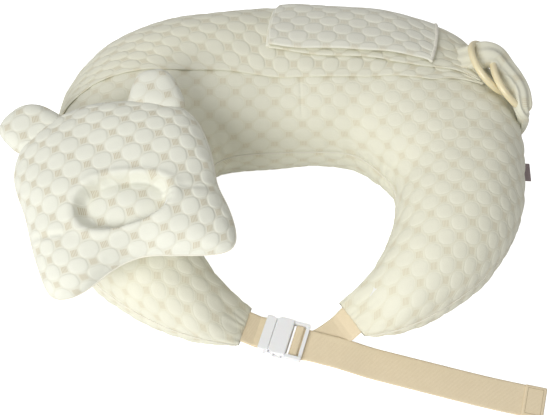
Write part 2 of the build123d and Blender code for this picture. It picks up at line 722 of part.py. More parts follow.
# Share of the dome's height, scale of the outline
DOME_LEVELS = [(0.0, 1.0), (0.30, 0.965), (0.60, 0.87), (0.84, 0.70), (0.965, 0.48), (1.0, 0.30)]
# Height, scale of the outline
EAR_LEVELS = [(-11, 0.45), (-9.5, 0.70), (-6, 0.90), (0, 1.0), (6, 0.92), (10, 0.72), (12, 0.45)]


def stacked_loft(outline, levels):
    """Loft of the outline scaled about its mean point at each (height, scale)."""
    cx = sum(x for x, y in outline) / len(outline)
    cy = sum(y for x, y in outline) / len(outline)
    with BuildPart() as body:
        for height, factor in levels:
            points = [(cx + (x - cx) * factor, cy + (y - cy) * factor) for x, y in outline]
            with BuildSketch(HEAD.offset(height)):
                with BuildLine():
                    Spline(*points, periodic=True)
                make_face()
        loft()
    return body.part


def dome(height, shrink):
    """Half of the pillow; a negative height points down."""
    return stacked_loft(HEAD_OUTLINE, [(share * height, factor - shrink / HEAD_RADIUS)
                                       for share, factor in DOME_LEVELS])


def well(extra):
    """Ellipsoid that hollows the pillow's top, enlarged by extra."""
    with BuildPart() as ball:
        Sphere(1)
    ellipsoid = scale(ball.part, by=(50 + extra, 30 + extra, 15 + extra))
    return HEAD * Pos(3, -37, HEAD_UP + 4.0) * Rot(0, 0, 7) * ellipsoid


def head_cover_top():
    outside = dome(HEAD_UP, 0) - well(0)
    inside = dome(HEAD_UP - HEAD_T, COVER_SHRINK) - well(HEAD_T)
    with BuildPart() as cover:
        add(outside)
        add(inside, mode=Mode.SUBTRACT)
    return cover.part


def head_cover_bottom():
    outside = dome(-HEAD_DOWN, 0)
    inside = dome(-(HEAD_DOWN - HEAD_T), COVER_SHRINK)
    with BuildPart() as cover:
        add(outside)
        add(inside, mode=Mode.SUBTRACT)
    return cover.part


def head_fill():
    inset = HEAD_T + HEAD_FILL_GAP
    upper = dome(HEAD_UP - HEAD_T - HEAD_FILL_GAP, FILL_SHRINK) - well(inset)
    lower = dome(-(HEAD_DOWN - HEAD_T - HEAD_FILL_GAP), FILL_SHRINK)
    with BuildPart() as fill:
        add(upper)
        add(lower)
    return fill.part


def ear(outline):
    """Ear trimmed to the pillow with a small clearance."""
    clearance = 0.05
    body = stacked_loft(outline, EAR_LEVELS)
    pillow = dome(HEAD_UP + clearance, -0.1) + dome(-(HEAD_DOWN + clearance), -0.1)
    with BuildPart() as trimmed:
        add(body)
        add(pillow, mode=Mode.SUBTRACT)
    return trimmed.part


# ---------------------------------------------------------------- build and export
BAG_OFFSET = -COVER_T - SKIN_GAP

PIECES = {
    "main_cover_top": half_skin(upper_band, COVER_STATIONS, 0, COVER_T),
    "main_cover_bottom": half_skin(lower_band, COVER_STATIONS, 0, COVER_T, cut=BELOW_FLOOR),
    "inner_bag_top": half_skin(upper_band, INNER_STATIONS, BAG_OFFSET, BAG_T),
    "inner_bag_bottom": half_skin(lower_band, INNER_STATIONS, BAG_OFFSET, BAG_T),
    "fibre_fill": fibre_fill(),
    "zip_tape_upper": zip_tape(TAPE_EDGES[0], TAPE_EDGES[1]),
    "zip_tape_lower": zip_tape(-TAPE_EDGES[1], -TAPE_EDGES[0]),
    "zip_coil": zip_coil(),
    "zip_stops": zip_stops(),
    "zip_slider": zip_slider(),
    "zip_pull": zip_pull(),
    "guard_band": guard_band(),
    "ring_holder": ring_holder(),
    "front_ring": ring_body(FRONT_RING),
    "rear_ring": ring_body(REAR_RING),
    "side_label": side_label(),
    "short_strap": short_strap(),
    "buckle_plug": buckle_plug(),
    "buckle_arm_rear": buckle_arm(1),
    "buckle_arm_front": buckle_arm(-1),
    "buckle_socket": buckle_socket(),
    "long_strap": long_strap(),
    "strap_bartacks": strap_bartacks(),
    "head_cover_top": head_cover_top(),
    "head_cover_bottom": head_cover_bottom(),
    "head_fill": head_fill(),
    "ear_left": ear(EAR_LEFT),
    "ear_right": ear(EAR_RIGHT),
}

for name, part in PIECES.items():
    part.label = name
    export_step(part, f"parts/{name}.step")
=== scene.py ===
"""A U-shaped quilted cushion with a guard band, two rings, a head pillow and a buckled belt.

The U lies on the floor (z = 0), its bend at +y and its two tips at -y, close to x = 0.
The head pillow rests on the -x arm and the rings stand on the +x arm.
Shapes are worked out in millimetres and turned into metres when a mesh is made.

A place on the cushion is a station and a section angle. Stations run from -9 (the -x tip)
through 0 (the middle of the bend) to 9 (the +x tip). The angle is 0 at the outer seam,
90 at the top and 180 at the inner seam, and negative angles are underneath.
"""
import bmesh
import bpy
import math
import numpy as np
from mathutils import Matrix, Vector


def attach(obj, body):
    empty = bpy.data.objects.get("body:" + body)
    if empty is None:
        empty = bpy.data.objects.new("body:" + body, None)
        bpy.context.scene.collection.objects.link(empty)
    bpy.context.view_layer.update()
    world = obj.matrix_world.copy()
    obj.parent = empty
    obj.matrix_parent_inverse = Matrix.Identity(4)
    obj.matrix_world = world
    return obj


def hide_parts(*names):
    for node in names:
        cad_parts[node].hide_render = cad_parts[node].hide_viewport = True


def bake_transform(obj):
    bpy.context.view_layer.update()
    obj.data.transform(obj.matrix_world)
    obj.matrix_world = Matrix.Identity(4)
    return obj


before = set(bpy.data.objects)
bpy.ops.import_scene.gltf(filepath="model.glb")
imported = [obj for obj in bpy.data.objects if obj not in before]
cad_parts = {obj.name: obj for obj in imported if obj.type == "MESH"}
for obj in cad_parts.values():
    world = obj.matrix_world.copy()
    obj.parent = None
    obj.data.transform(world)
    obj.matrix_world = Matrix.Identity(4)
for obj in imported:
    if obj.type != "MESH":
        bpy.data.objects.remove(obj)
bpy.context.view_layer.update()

MM = 0.001

# ---------------------------------------------------------------- cushion dimensions (mm)
# x, y at stations 0 to 8; the -x side mirrors them, but the tips differ
OUTER_EDGE = [(0, 102), (71, 98.9), (144, 89), (230, 46), (280, -36),
              (287, -128), (266, -223), (205, -293), (132, -328)]
INNER_EDGE = [(0, -106.5), (40, -107), (76, -112), (98, -127), (117, -148),
              (126, -172), (120.5, -208), (108, -238), (84, -267.5)]
OUTER_TIPS = ((-69.5, -334.0), (80.5, -327.5))      # stations -9 and 9
INNER_TIPS = ((-52.5, -283.0), (53.1, -280.0))
# heights at stations 0 to 9
SEAM_Z = [82, 82, 81, 79, 76, 73, 67, 55, 36, 13]
CROWN = [85, 85, 84, 82, 79, 76, 70, 58, 40, 5.6]   # from the seam to the top
TIP_Z = SEAM_Z[-1]
SECTION_POWER = 0.9     # 1 gives an elliptical section
FLAT_SHARE = 0.965      # the flat underside is no deeper than this share of the crown

# jacquard: padded cells, each with a pad at its corners and centre
CELL_X, CELL_Y = 31.0, 27.5
PAD_HALF_X, PAD_HALF_Y = 0.322, 0.309   # share of a cell
PAD_POWER = 2.6                         # roundness of the pad outline
MESH_STEP = 1.9

# guard edges: stations, then section angles
GUARD_HIGH = ([-4.35, -3.9, -3.4, -2.95, -2.1, -0.9, 0.05, 1.0, 1.85, 2.6, 3.3, 3.7, 3.95],
              [33, 55, 76, 88, 103, 112, 116, 116, 114, 106, 94, 78, 66])
GUARD_LOW = ([-4.35, -3.9, -3.4, -2.5, 0, 2.0, 2.8, 3.3, 3.7, 3.95],
             [2, 10, 20, 27, 29, 30, 34, 42, 50, 53])
FLAP_LOW = ([-0.42, 0.4, 1.5, 2.6, 3.05], [44, 41, 42, 48, 52])
FLAP_HIGH = ([-0.42, 0.4, 1.5, 2.6, 3.05], [94, 97, 97, 92, 88])
RETURN_LOW = ([-0.42, 1.0, 2.4, 3.1, 3.6, 3.95], [43, 40, 42, 44, 49, 53])
RETURN_HIGH = ([-0.42, 1.0, 2.4, 3.1, 3.6, 3.95], [95, 101, 98, 90, 76, 66])


# ---------------------------------------------------------------- numbers and curves
def ramp(value, start, end):
    """Smooth step from 0 at start to 1 at end."""
    t = np.clip((value - start) / (end - start), 0, 1)
    return t * t * (3 - 2 * t)


def bell(distance, width):
    return np.exp(-(distance / width) ** 2)


def signed_power(value, power):
    return np.sign(value) * abs(value) ** power


def unit(vector):
    return vector / np.linalg.norm(vector)


def running_total(steps):
    return np.concatenate([[0], np.cumsum(steps)])


def arc_length(points):
    return running_total(np.linalg.norm(np.diff(points, axis=0), axis=1))


def natural_spline(xs, ys):
    xs, ys = np.array(xs, float), np.array(ys, float)
    n = len(xs)
    h = np.diff(xs)
    matrix = np.eye(n)
    right_side = np.zeros(n)
    for i in range(1, n - 1):
        matrix[i, i - 1:i + 2] = h[i - 1], 2 * (h[i - 1] + h[i]), h[i]
        right_side[i] = 3 * ((ys[i + 1] - ys[i]) / h[i] - (ys[i] - ys[i - 1]) / h[i - 1])
    square = np.linalg.solve(matrix, right_side)
    linear = np.diff(ys) / h - h * (2 * square[:-1] + square[1:]) / 3
    cubic = np.diff(square) / (3 * h)

    def curve(x):
        x = np.asarray(x, float)
        j = np.clip(np.searchsorted(xs, x) - 1, 0, n - 2)
        t = x - xs[j]
        return ys[j] + linear[j] * t + square[:-1][j] * t * t + cubic[j] * t ** 3
    return curve


def hermite(p0, p1, tangent0, tangent1, t):
    return ((2 * t ** 3 - 3 * t * t + 1) * p0 + (t ** 3 - 2 * t * t + t) * tangent0
            + (-2 * t ** 3 + 3 * t * t) * p1 + (t ** 3 - t * t) * tangent1)


def monotone_curve(xs, ys):
    """Curve through the points that never overshoots them, held level beyond the ends."""
    xs, ys = np.array(xs, float), np.array(ys, float)
    slope = np.diff(ys) / np.diff(xs)
    tangent = np.zeros(len(xs))
    tangent[0], tangent[-1] = slope[0], slope[-1]
    for i in range(1, len(xs) - 1):
        before, after = slope[i - 1], slope[i]
        tangent[i] = 0 if before * after <= 0 else 2 * before * after / (before + after)

    def curve(x):
        x = np.clip(np.asarray(x, float), xs[0], xs[-1])
        j = np.clip(np.searchsorted(xs, x) - 1, 0, len(xs) - 2)
        width = xs[j + 1] - xs[j]
        return hermite(ys[j], ys[j + 1], width * tangent[j], width * tangent[j + 1],
                       (x - xs[j]) / width)
    return curve


def spline_rows(rows, count):
    """Resample table rows evenly along the path of their first three columns."""
    rows = np.asarray(rows, float)
    length = arc_length(rows[:, :3])
    samples = np.linspace(0, length[-1], count)
    return np.stack([natural_spline(length, rows[:, c])(samples)
                     for c in range(rows.shape[1])], -1)


def closed_spline(points, count):
    points = np.array(points, float)
    n = len(points)
    overlapped = np.concatenate([points[-3:], points, points[:4]])
    knots = np.arange(-3, n + 4)
    samples = np.linspace(0, n, count, endpoint=False)
    return np.stack([natural_spline(knots, overlapped[:, c])(samples) for c in range(2)], -1)


class Waves:
    """Seeded smooth noise: a sum of sines about one wavelength (mm)."""
    def __init__(self, seed, wavelength, count=14):
        random = np.random.default_rng(seed)
        direction = random.normal(size=(count, 3))
        direction /= np.linalg.norm(direction, axis=1, keepdims=True)
        spread = random.uniform(0.65, 1.6, (count, 1))
        self.vectors = direction * (2 * math.pi / (wavelength * spread))
        self.phases = random.uniform(0, 6.283, count)

    def __call__(self, points):
        total = np.sin(points @ self.vectors.T + self.phases).sum(-1)
        return total / math.sqrt(len(self.phases))


BROAD_WAVES, MID_WAVES = Waves(1, 120), Waves(2, 46)
BROAD_HEIGHT, MID_HEIGHT = 1.3, 0.55


def pad_height(flat_x, flat_y, height):
    """Height of the jacquard pads at a place on the flat cloth."""
    result = np.zeros(np.broadcast(flat_x, flat_y).shape)
    for shift in (0, 0.5):
        a = (flat_x / CELL_X + shift) % 1 - 0.5
        b = (flat_y / CELL_Y + shift) % 1 - 0.5
        reach = ((abs(a) / PAD_HALF_X) ** PAD_POWER
                 + (abs(b) / PAD_HALF_Y) ** PAD_POWER) ** (1 / PAD_POWER)
        result = np.maximum(result, np.clip(1 - reach ** 3.0, 0, 1) ** 0.62)
    return height * result


# ---------------------------------------------------------------- cushion surface
def edge_curves(half, tips):
    """x and y splines over stations -9 to 9."""
    mirrored = [(-x, y) for x, y in half[:0:-1]]
    points = [tips[0]] + mirrored + half + [tips[1]]
    return [natural_spline(range(-9, 10), [p[c] for p in points]) for c in range(2)]


outer_x, outer_y = edge_curves(OUTER_EDGE, OUTER_TIPS)
inner_x, inner_y = edge_curves(INNER_EDGE, INNER_TIPS)
seam_height = monotone_curve(range(10), SEAM_Z)
crown_height = monotone_curve(range(10), CROWN)


def section(station):
    """Middle x, y of the cross-section, its outward direction x, y, and its width."""
    ox, oy, ix, iy = (f(station) for f in (outer_x, outer_y, inner_x, inner_y))
    width = np.hypot(ox - ix, oy - iy)
    return (ox + ix) / 2, (oy + iy) / 2, (ox - ix) / width, (oy - iy) / width, width


def surface(station, angle, offset=0.0, flat=False):
    """Points on the plain cushion, moved outwards by offset; flat levels the underside."""
    station, angle, offset = np.broadcast_arrays(
        np.asarray(station, float), np.asarray(angle, float), np.asarray(offset, float))
    mid_x, mid_y, dir_x, dir_y, width = section(station)
    seam, crown = seam_height(abs(station)), crown_height(abs(station))
    across = (width / 2 + offset) * signed_power(np.cos(np.radians(angle)), SECTION_POWER)
    z = (crown + offset) * signed_power(np.sin(np.radians(angle)), SECTION_POWER)
    if flat:
        z = np.maximum(z, -(np.minimum(seam, FLAT_SHARE * crown) + offset))
    return np.stack([mid_x + dir_x * across, mid_y + dir_y * across, seam + z], -1)


# ---------------------------------------------------------------- mesh builders
def grid_normals(points):
    normal = np.cross(np.gradient(points, axis=0), np.gradient(points, axis=1))
    return normal / (np.linalg.norm(normal, axis=2, keepdims=True) + 1e-9)


def mesh_grid(name, points, uv=None, close_u=False, close_v=False):
    """Smooth quad mesh from a grid of points; uv holds flat-cloth positions."""
    nu, nv = points.shape[:2]
    index = np.arange(nu * nv).reshape(nu, nv)
    i0 = np.arange(nu if close_u else nu - 1)[:, None]
    j0 = np.arange(nv if close_v else nv - 1)[None, :]
    i1, j1 = (i0 + 1) % nu, (j0 + 1) % nv
    corners = [index[i0, j0], index[i1, j0], index[i1, j1], index[i0, j1]]
    faces = np.stack(corners, -1).reshape(-1, 4)
    mesh = bpy.data.meshes.new(name)
    mesh.from_pydata((points.reshape(-1, 3) * MM).tolist(), [], faces.tolist())
    if uv is not None:
        loop_uv = (uv.reshape(-1, 2) * MM)[faces.reshape(-1)]
        layer = mesh.uv_layers.new(name="cloth")
        layer.data.foreach_set("uv", loop_uv.astype(np.float32).reshape(-1))
    mesh.polygons.foreach_set("use_smooth", [True] * len(mesh.polygons))
    ob = bpy.data.objects.new(name, mesh)
    bpy.context.collection.objects.link(ob)
    mesh.update()
    return ob


def add_caps(ob, nu, nv):
    """Close the first and last rows of a grid that is closed along v."""
    bm = bmesh.new()
    bm.from_mesh(ob.data)
    bm.verts.ensure_lookup_table()
    for row in (0, nu - 1):
        bm.faces.new([bm.verts[row * nv + j] for j in range(nv)])
    bmesh.ops.recalc_face_normals(bm, faces=bm.faces)
    bm.to_mesh(ob.data)
    bm.free()


def path_frame(path, up):
    """Side and up directions, square to the path."""
    along = np.gradient(path, axis=0)
    along /= np.linalg.norm(along, axis=1, keepdims=True)
    side = np.cross(along, np.broadcast_to(np.asarray(up, float), path.shape))
    side /= np.linalg.norm(side, axis=1, keepdims=True) + 1e-9
    return side, np.cross(side, along)


def tube(name, path, radius, sides=8, flat=1.0, up=(0, 0, 1.0), with_uv=False, caps=True):
    """Round cord along a path; flat scales its thickness along up."""
    side, lift = path_frame(path, up)
    turn = np.linspace(0, 2 * math.pi, sides, endpoint=False)
    points = (path[:, None] + np.cos(turn)[None, :, None] * side[:, None] * radius
              + np.sin(turn)[None, :, None] * lift[:, None] * (radius * flat))
    uv = None
    if with_uv:
        uv = np.stack(np.broadcast_arrays(arc_length(path)[:, None], turn[None] * radius), -1)
    ob = mesh_grid(name, points, uv, close_v=True)
    if caps:
        add_caps(ob, len(path), sides)
    return ob


def cloth(name, middle, thickness, uv, edge):
    """Closed cloth slab about a middle surface, its border rounded over the edge width."""
    normal = grid_normals(middle)
    nu, nv = middle.shape[:2]
    u = arc_length(middle[:, nv // 2])
    v = arc_length(middle[nu // 2])
    from_border = np.minimum(np.minimum(u, u[-1] - u)[:, None], np.minimum(v, v[-1] - v)[None])
    profile = np.sqrt(np.clip(1 - (1 - np.clip(from_border / edge, 0, 1)) ** 2, 0.02, 1))
    shift = normal * (thickness * 0.5 * profile)[..., None]
    both_faces = np.concatenate([middle + shift, (middle - shift)[:, ::-1]], axis=1)
    ob = mesh_grid(name, both_faces, np.concatenate([uv, uv[:, ::-1]], axis=1), close_v=True)
    add_caps(ob, nu, 2 * nv)
    return ob


def fit(ob, body, material, slot, *replaced):
    ob.data.materials.append(material)
    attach(ob, body)
    if replaced:
        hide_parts(*replaced)


# ---------------------------------------------------------------- materials
class Shader:
    """A material with a Principled shader, and short calls for adding nodes to it."""
    def __init__(self, name):
        self.material = bpy.data.materials.new(name)
        self.material.use_nodes = True
        self.tree = self.material.node_tree
        self.tree.nodes.clear()
        self.output = self.node("ShaderNodeOutputMaterial")
        self.surface = self.node("ShaderNodeBsdfPrincipled")
        self.link(self.surface.outputs[0], self.output.inputs[0])

    def node(self, kind):
        return self.tree.nodes.new(kind)

    def link(self, source, target):
        self.tree.links.new(source, target)

    def set(self, **values):
        """Set Principled inputs, such as Sheen_Weight=0.2."""
        for key, value in values.items():
            self.surface.inputs[key.replace("_", " ")].default_value = value

    def feed(self, socket, value):
        if isinstance(value, (int, float)):
            socket.default_value = value
        elif isinstance(value, tuple):
            socket.default_value = (*value, 1)
        else:
            self.link(value, socket)

    def math(self, operation, a, b=0.0):
        node = self.node("ShaderNodeMath")
        node.operation = operation
        self.feed(node.inputs[0], a)
        self.feed(node.inputs[1], b)
        return node.outputs[0]

    def add(self, a, b):
        return self.math('ADD', a, b)

    def times(self, a, b):
        return self.math('MULTIPLY', a, b)

    def wave(self, value, cycles):
        """Sine with this many cycles per unit of the value."""
        return self.math('SINE', self.times(value, 2 * math.pi * cycles))

    def greater(self, so_far, value):
        return value if so_far is None else self.math('MAXIMUM', so_far, value)

    def mix(self, factor, a, b):
        node = self.node("ShaderNodeMix")
        node.data_type = 'RGBA'
        # sockets 6 and 7 are the colours A and B, output 2 the colour result
        for socket, value in ((0, factor), (6, a), (7, b)):
            self.feed(node.inputs[socket], value)
        return node.outputs[2]

    def object_position(self):
        return self.node("ShaderNodeTexCoord").outputs["Object"]

    def cloth_position(self):
        """The flat-cloth UV, in metres."""
        uv = self.node("ShaderNodeUVMap")
        uv.uv_map = "cloth"
        return uv.outputs[0]

    def split(self, vector):
        node = self.node("ShaderNodeSeparateXYZ")
        self.link(vector, node.inputs[0])
        return node.outputs[0], node.outputs[1]

    def noise(self, position, scale, detail=2.0):
        node = self.node("ShaderNodeTexNoise")
        node.inputs["Scale"].default_value = scale
        node.inputs["Detail"].default_value = detail
        self.link(position, node.inputs["Vector"])
        return node.outputs[0]

    def fade(self, value, start, end):
        """Smooth step from 0 at start to 1 at end."""
        node = self.node("ShaderNodeMapRange")
        node.interpolation_type = 'SMOOTHSTEP'
        self.link(value, node.inputs[0])
        # from min, from max, to min, to max
        for i, limit in enumerate((start, end, 0.0, 1.0), 1):
            node.inputs[i].default_value = limit
        return node.outputs[0]

    def bump(self, height, strength, distance):
        node = self.node("ShaderNodeBump")
        node.inputs["Strength"].default_value = strength
        node.inputs["Distance"].default_value = distance
        self.link(height, node.inputs["Height"])
        self.link(node.outputs[0], self.surface.inputs["Normal"])


def quilt_material(name, pad, shaded_ground, square, square_share):
    """Jacquard knit: pale pads with small striped squares between them; the darker colour around
    the pads is painted shade in the creases.
    """
    sh = Shader(name)
    mapping = sh.node("ShaderNodeMapping") if False else None
    uv = sh.cloth_position()
    mapping = sh.node("ShaderNodeMapping")
    sh.link(uv, mapping.inputs[0])
    x, y = sh.split(mapping.outputs[0])

    def cell_axis(value, size, shift):
        # the 40 cells keep the fraction's input positive
        cells = sh.add(sh.times(value, 1000 / size), shift + 40.0)
        return sh.math('SUBTRACT', sh.math('FRACT', cells), 0.5)

    def pad_term(value, half):
        return sh.math('POWER', sh.times(sh.math('ABSOLUTE', value), 1 / half), PAD_POWER)

    pads = None
    for shift in (0, 0.5):
        a = cell_axis(x, CELL_X, shift)
        b = cell_axis(y, CELL_Y, shift)
        total = sh.add(pad_term(a, PAD_HALF_X), pad_term(b, PAD_HALF_Y))
        reach = sh.math('POWER', total, 1 / PAD_POWER)
        pads = sh.greater(pads, sh.fade(reach, start=1.03, end=0.86))
    squares = None
    for shift_x, shift_y in ((0.5, 0), (0, 0.5)):
        a = cell_axis(x, CELL_X, shift_x)
        b = cell_axis(y, CELL_Y, shift_y)
        inside_x = sh.fade(sh.math('ABSOLUTE', a), start=0.127, end=0.110)
        inside_y = sh.fade(sh.math('ABSOLUTE', b), start=0.132, end=0.112)
        stripes = sh.add(0.5, sh.times(0.5, sh.wave(a, cycles=19.5)))
        squares = sh.greater(squares, sh.times(sh.times(inside_x, inside_y), stripes))

    position = sh.object_position()
    broad = sh.noise(position, scale=9.0)
    fine = sh.noise(position, scale=900.0, detail=1.0)
    # painted shade: the colour around the pads is darker than the pad colour, standing in for
    # shade in the creases between pads
    colour = sh.mix(pads, shaded_ground, pad)
    colour = sh.mix(sh.times(squares, square_share), colour, square)
    shade = sh.node("ShaderNodeHueSaturation")
    sh.link(colour, shade.inputs["Color"])
    mottle = sh.add(sh.times(broad, 0.09), sh.times(fine, 0.05))
    sh.link(sh.add(0.93, mottle), shade.inputs["Value"])
    sh.link(shade.outputs[0], sh.surface.inputs["Base Color"])
    sh.set(Roughness=0.9, Sheen_Weight=0.25, Sheen_Roughness=0.5)

    # knit ribs 1.25 mm apart under the raised squares and pads
    ribs = sh.times(sh.wave(x, cycles=1000 / 1.25), sh.wave(y, cycles=1000 / 1.25))
    layers = [sh.times(layer, weight)
              for layer, weight in ((ribs, 0.08), (squares, 0.35), (fine, 0.2), (pads, 0.9))]
    height = sh.add(layers[0], sh.add(layers[1], sh.add(layers[2], layers[3])))
    sh.bump(height, strength=0.5, distance=0.0006)
    return sh.material


def plain_material(name, colour, roughness, coat=0.0, mottle=0.03, bump=0.0, bump_scale=600.0,
                   scatter=0.0, sheen=0.0):
    """One mottled colour, with an optional fine bump and subsurface scatter."""
    sh = Shader(name)
    position = sh.object_position()
    noise = sh.noise(position, scale=60.0, detail=3.0)
    darker = tuple(value * (1 - mottle * 2) for value in colour)
    sh.link(sh.mix(sh.times(noise, mottle * 6), colour, darker), sh.surface.inputs["Base Color"])
    sh.link(sh.add(roughness - 0.05, sh.times(noise, 0.1)), sh.surface.inputs["Roughness"])
    sh.set(Coat_Weight=coat, Sheen_Weight=sheen)
    if scatter:
        sh.set(Subsurface_Weight=scatter, Subsurface_Radius=(0.004, 0.003, 0.002))
    if bump:
        sh.bump(sh.noise(position, bump_scale), strength=bump, distance=0.0005)
    return sh.material


def webbing_material(name, dark, light):
    """Woven cotton: crossed waves 1.1 mm apart along the strap and 1.6 mm across it."""
    sh = Shader(name)
    x, y = sh.split(sh.cloth_position())
    along = sh.wave(x, cycles=1000 / 1.1)
    across = sh.wave(y, cycles=1000 / 1.6)
    weave = sh.add(0.5, sh.times(0.5, sh.times(along, across)))
    noise = sh.noise(sh.object_position(), scale=240.0)
    lightness = sh.add(sh.times(weave, 0.45), sh.times(noise, 0.55))
    sh.link(sh.mix(lightness, dark, light), sh.surface.inputs["Base Color"])
    sh.set(Roughness=0.78, Sheen_Weight=0.2)
    sh.bump(sh.add(sh.times(weave, 0.7), sh.times(across, 0.3)), strength=0.5, distance=0.0004)
    return sh.material


# the colour around the pads is set darker than the pad colour in each knit: painted shade in the
# creases between pads
QUILT = quilt_material("quilt_cream", pad=(0.80, 0.79, 0.655), shaded_ground=(0.775, 0.758, 0.612),
                       square=(0.64, 0.56, 0.385), square_share=0.62)
HEAD_QUILT = quilt_material("quilt_head", pad=(0.775, 0.78, 0.685), shaded_ground=(0.735, 0.73, 0.625),
                            square=(0.54, 0.47, 0.32), square_share=0.85)
FLAP_QUILT = quilt_material("quilt_flap", pad=(0.825, 0.82, 0.715), shaded_ground=(0.80, 0.79, 0.67),
                            square=(0.70, 0.63, 0.47), square_share=0.55)
WEBBING = webbing_material("webbing_cotton", dark=(0.80, 0.665, 0.44), light=(0.90, 0.775, 0.56))
BUCKLE = plain_material("buckle_white", (0.93, 0.94, 0.965), roughness=0.32, coat=0.25,
                        mottle=0.01, scatter=0.15)
RING = plain_material("ring_cream", (0.86, 0.76, 0.50), roughness=0.30, coat=0.35,
                      mottle=0.02, scatter=0.1)
LINING = plain_material("bag_lining", (0.85, 0.85, 0.83), roughness=0.9, bump=0.3, sheen=0.2)
FIBRE = plain_material("fibre_white", (0.9, 0.9, 0.89), roughness=0.95, bump=0.6,
                       bump_scale=350, sheen=0.4)
ZIP_TAPE = plain_material("zip_tape_woven", (0.76, 0.72, 0.60), roughness=0.85, bump=0.5,
                          bump_scale=1500)
NYLON = plain_material("zip_nylon_cream", (0.80, 0.76, 0.64), roughness=0.5)
ENAMEL = plain_material("zip_enamel", (0.78, 0.75, 0.66), roughness=0.35, coat=0.4)
RIBBON = plain_material("tag_ribbon", (0.33, 0.26, 0.28), roughness=0.6, bump=0.3,
                        bump_scale=1500, sheen=0.3)
THREAD = plain_material("thread_beige", (0.60, 0.50, 0.33), roughness=0.8, bump=0.6,
                        bump_scale=1800)
HEM = plain_material("hem_thread", (0.80, 0.78, 0.68), roughness=0.9, bump=0.4,
                     bump_scale=900, sheen=0.2)

for material, names in (
        (LINING, ("inner_bag_top", "inner_bag_bottom")),
        (FIBRE, ("fibre_fill", "head_fill")),
        (ZIP_TAPE, ("zip_tape_upper", "zip_tape_lower")),
        (NYLON, ("zip_coil", "zip_stops")),
        (ENAMEL, ("zip_slider", "zip_pull")),
        (RIBBON, ("side_label",)),
        (THREAD, ("strap_bartacks",)),
        (BUCKLE, ("buckle_plug", "buckle_arm_rear", "buckle_arm_front", "buckle_socket"))):
    for name in names:
        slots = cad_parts[name].data.materials
        slots.clear()
        slots.append(material)


# ---------------------------------------------------------------- cushion skins
def station_samples(step):
    """Stations about one step apart along the cushion, and their distance along it."""
    k = np.linspace(-9, 9, 4001)
    outer = np.stack([outer_x(k), outer_y(k)], -1)
    inner = np.stack([inner_x(k), inner_y(k)], -1)
    length = running_total(np.linalg.norm(np.diff(outer, axis=0), axis=1) * 0.75
                           + np.linalg.norm(np.diff(inner, axis=0), axis=1) * 0.25)
    along = np.linspace(0, length[-1], int(length[-1] / step))
    return np.interp(along, length, k), along


def skin_relief(points, k, along, angle, arc, flat_x, flat_y, top):
    """Height of pads, waves, puckers and folds above the plain surface."""
    from_outer = arc - arc[:, :1]
    from_inner = arc[:, -1:] - arc
    from_seam = np.minimum(from_outer, from_inner)
    from_tip = np.minimum(along, along[-1] - along)
    # pads, nearly flat where the guard band covers the top
    covered = np.zeros(arc.shape)
    if top:
        low, high = monotone_curve(*GUARD_LOW)(k), monotone_curve(*GUARD_HIGH)(k)
        covered = (ramp(k, -4.3, -4.2) * (1 - ramp(k, 3.9, 4.0))
                   * ramp(angle, low + 1, low + 4) * (1 - ramp(angle, high - 4, high - 1)))
    height = (pad_height(flat_x, flat_y, 1.05) * ramp(from_seam, 1.0, 9.0)
              * ramp(from_tip, 0, 25) * (1 - 0.9 * covered))
    height += (BROAD_HEIGHT * BROAD_WAVES(points) * ramp(from_seam, 4, 40)
               * ramp(from_tip, 5, 60))
    height += MID_HEIGHT * MID_WAVES(points) * ramp(from_seam, 2, 25)
    if top:
        # short crease across the bend, on its inner side
        height += (-0.75 * bell(flat_x - 15.0, 1.4) * ramp(angle, 108, 118)
                   * (1 - ramp(angle, 140, 152)) * (abs(k) < 1.2))
    # seam: a pulled-in line with small puckers running away from it
    pucker = (np.sin(along / 5.2 + 1.5 * np.sin(along / 23.0))
              + 0.6 * np.sin(along / 2.9 + 2 * np.sin(along / 41.0)))
    height += (-1.1 * bell(from_seam, 2.6)
               + 0.45 * pucker * bell(from_seam, 11.0) * ramp(from_seam, 0.5, 4.0))
    # gathered folds at the inner edge, strongest around stations -2.6 and 2.6
    bend = bell(abs(k) - 2.6, 1.5)
    height += (1.2 * bend * np.sin(along / 7.5 + 2.2 * np.sin(along / 37.0))
               * bell(from_inner, 34.0) * ramp(from_inner, 1, 12))
    # gathers around the tips
    turn = arc / np.maximum(arc[:, -1:] - arc[:, :1], 1) * 2 * math.pi * 7
    height += 0.3 * np.sin(turn + 1.3 * np.sin(turn * 0.31)) * bell(from_tip, 26.0)
    # sunk and smooth along the zip, on the outside of the bend
    at_zip = ((1 - ramp(abs(points[..., 0]), 128, 142)) * (points[..., 1] > 60)
              * (1 - ramp(abs(points[..., 2] - SEAM_Z[0]), 14, 22)))
    height = height * (1 - at_zip) - 0.3 * at_zip
    if not top:
        # calmer where the cushion stands on the floor
        height = height * (0.25 + 0.75 * ramp(points[..., 2], 0.2, 6.0))
    return np.maximum(height, -1.95)


def tip_rows(edge, inward):
    """Three rows that turn the cloth in over an end; inward is a row nearer the middle."""
    out = unit((edge - inward).mean(0))
    rows = []
    for reach, rise in ((0.8, 0.72), (1.4, 0.35), (1.6, 0.04)):
        row = edge + out * reach
        row[:, 2] = TIP_Z + (edge[:, 2] - TIP_Z) * rise
        rows.append(row)
    return rows


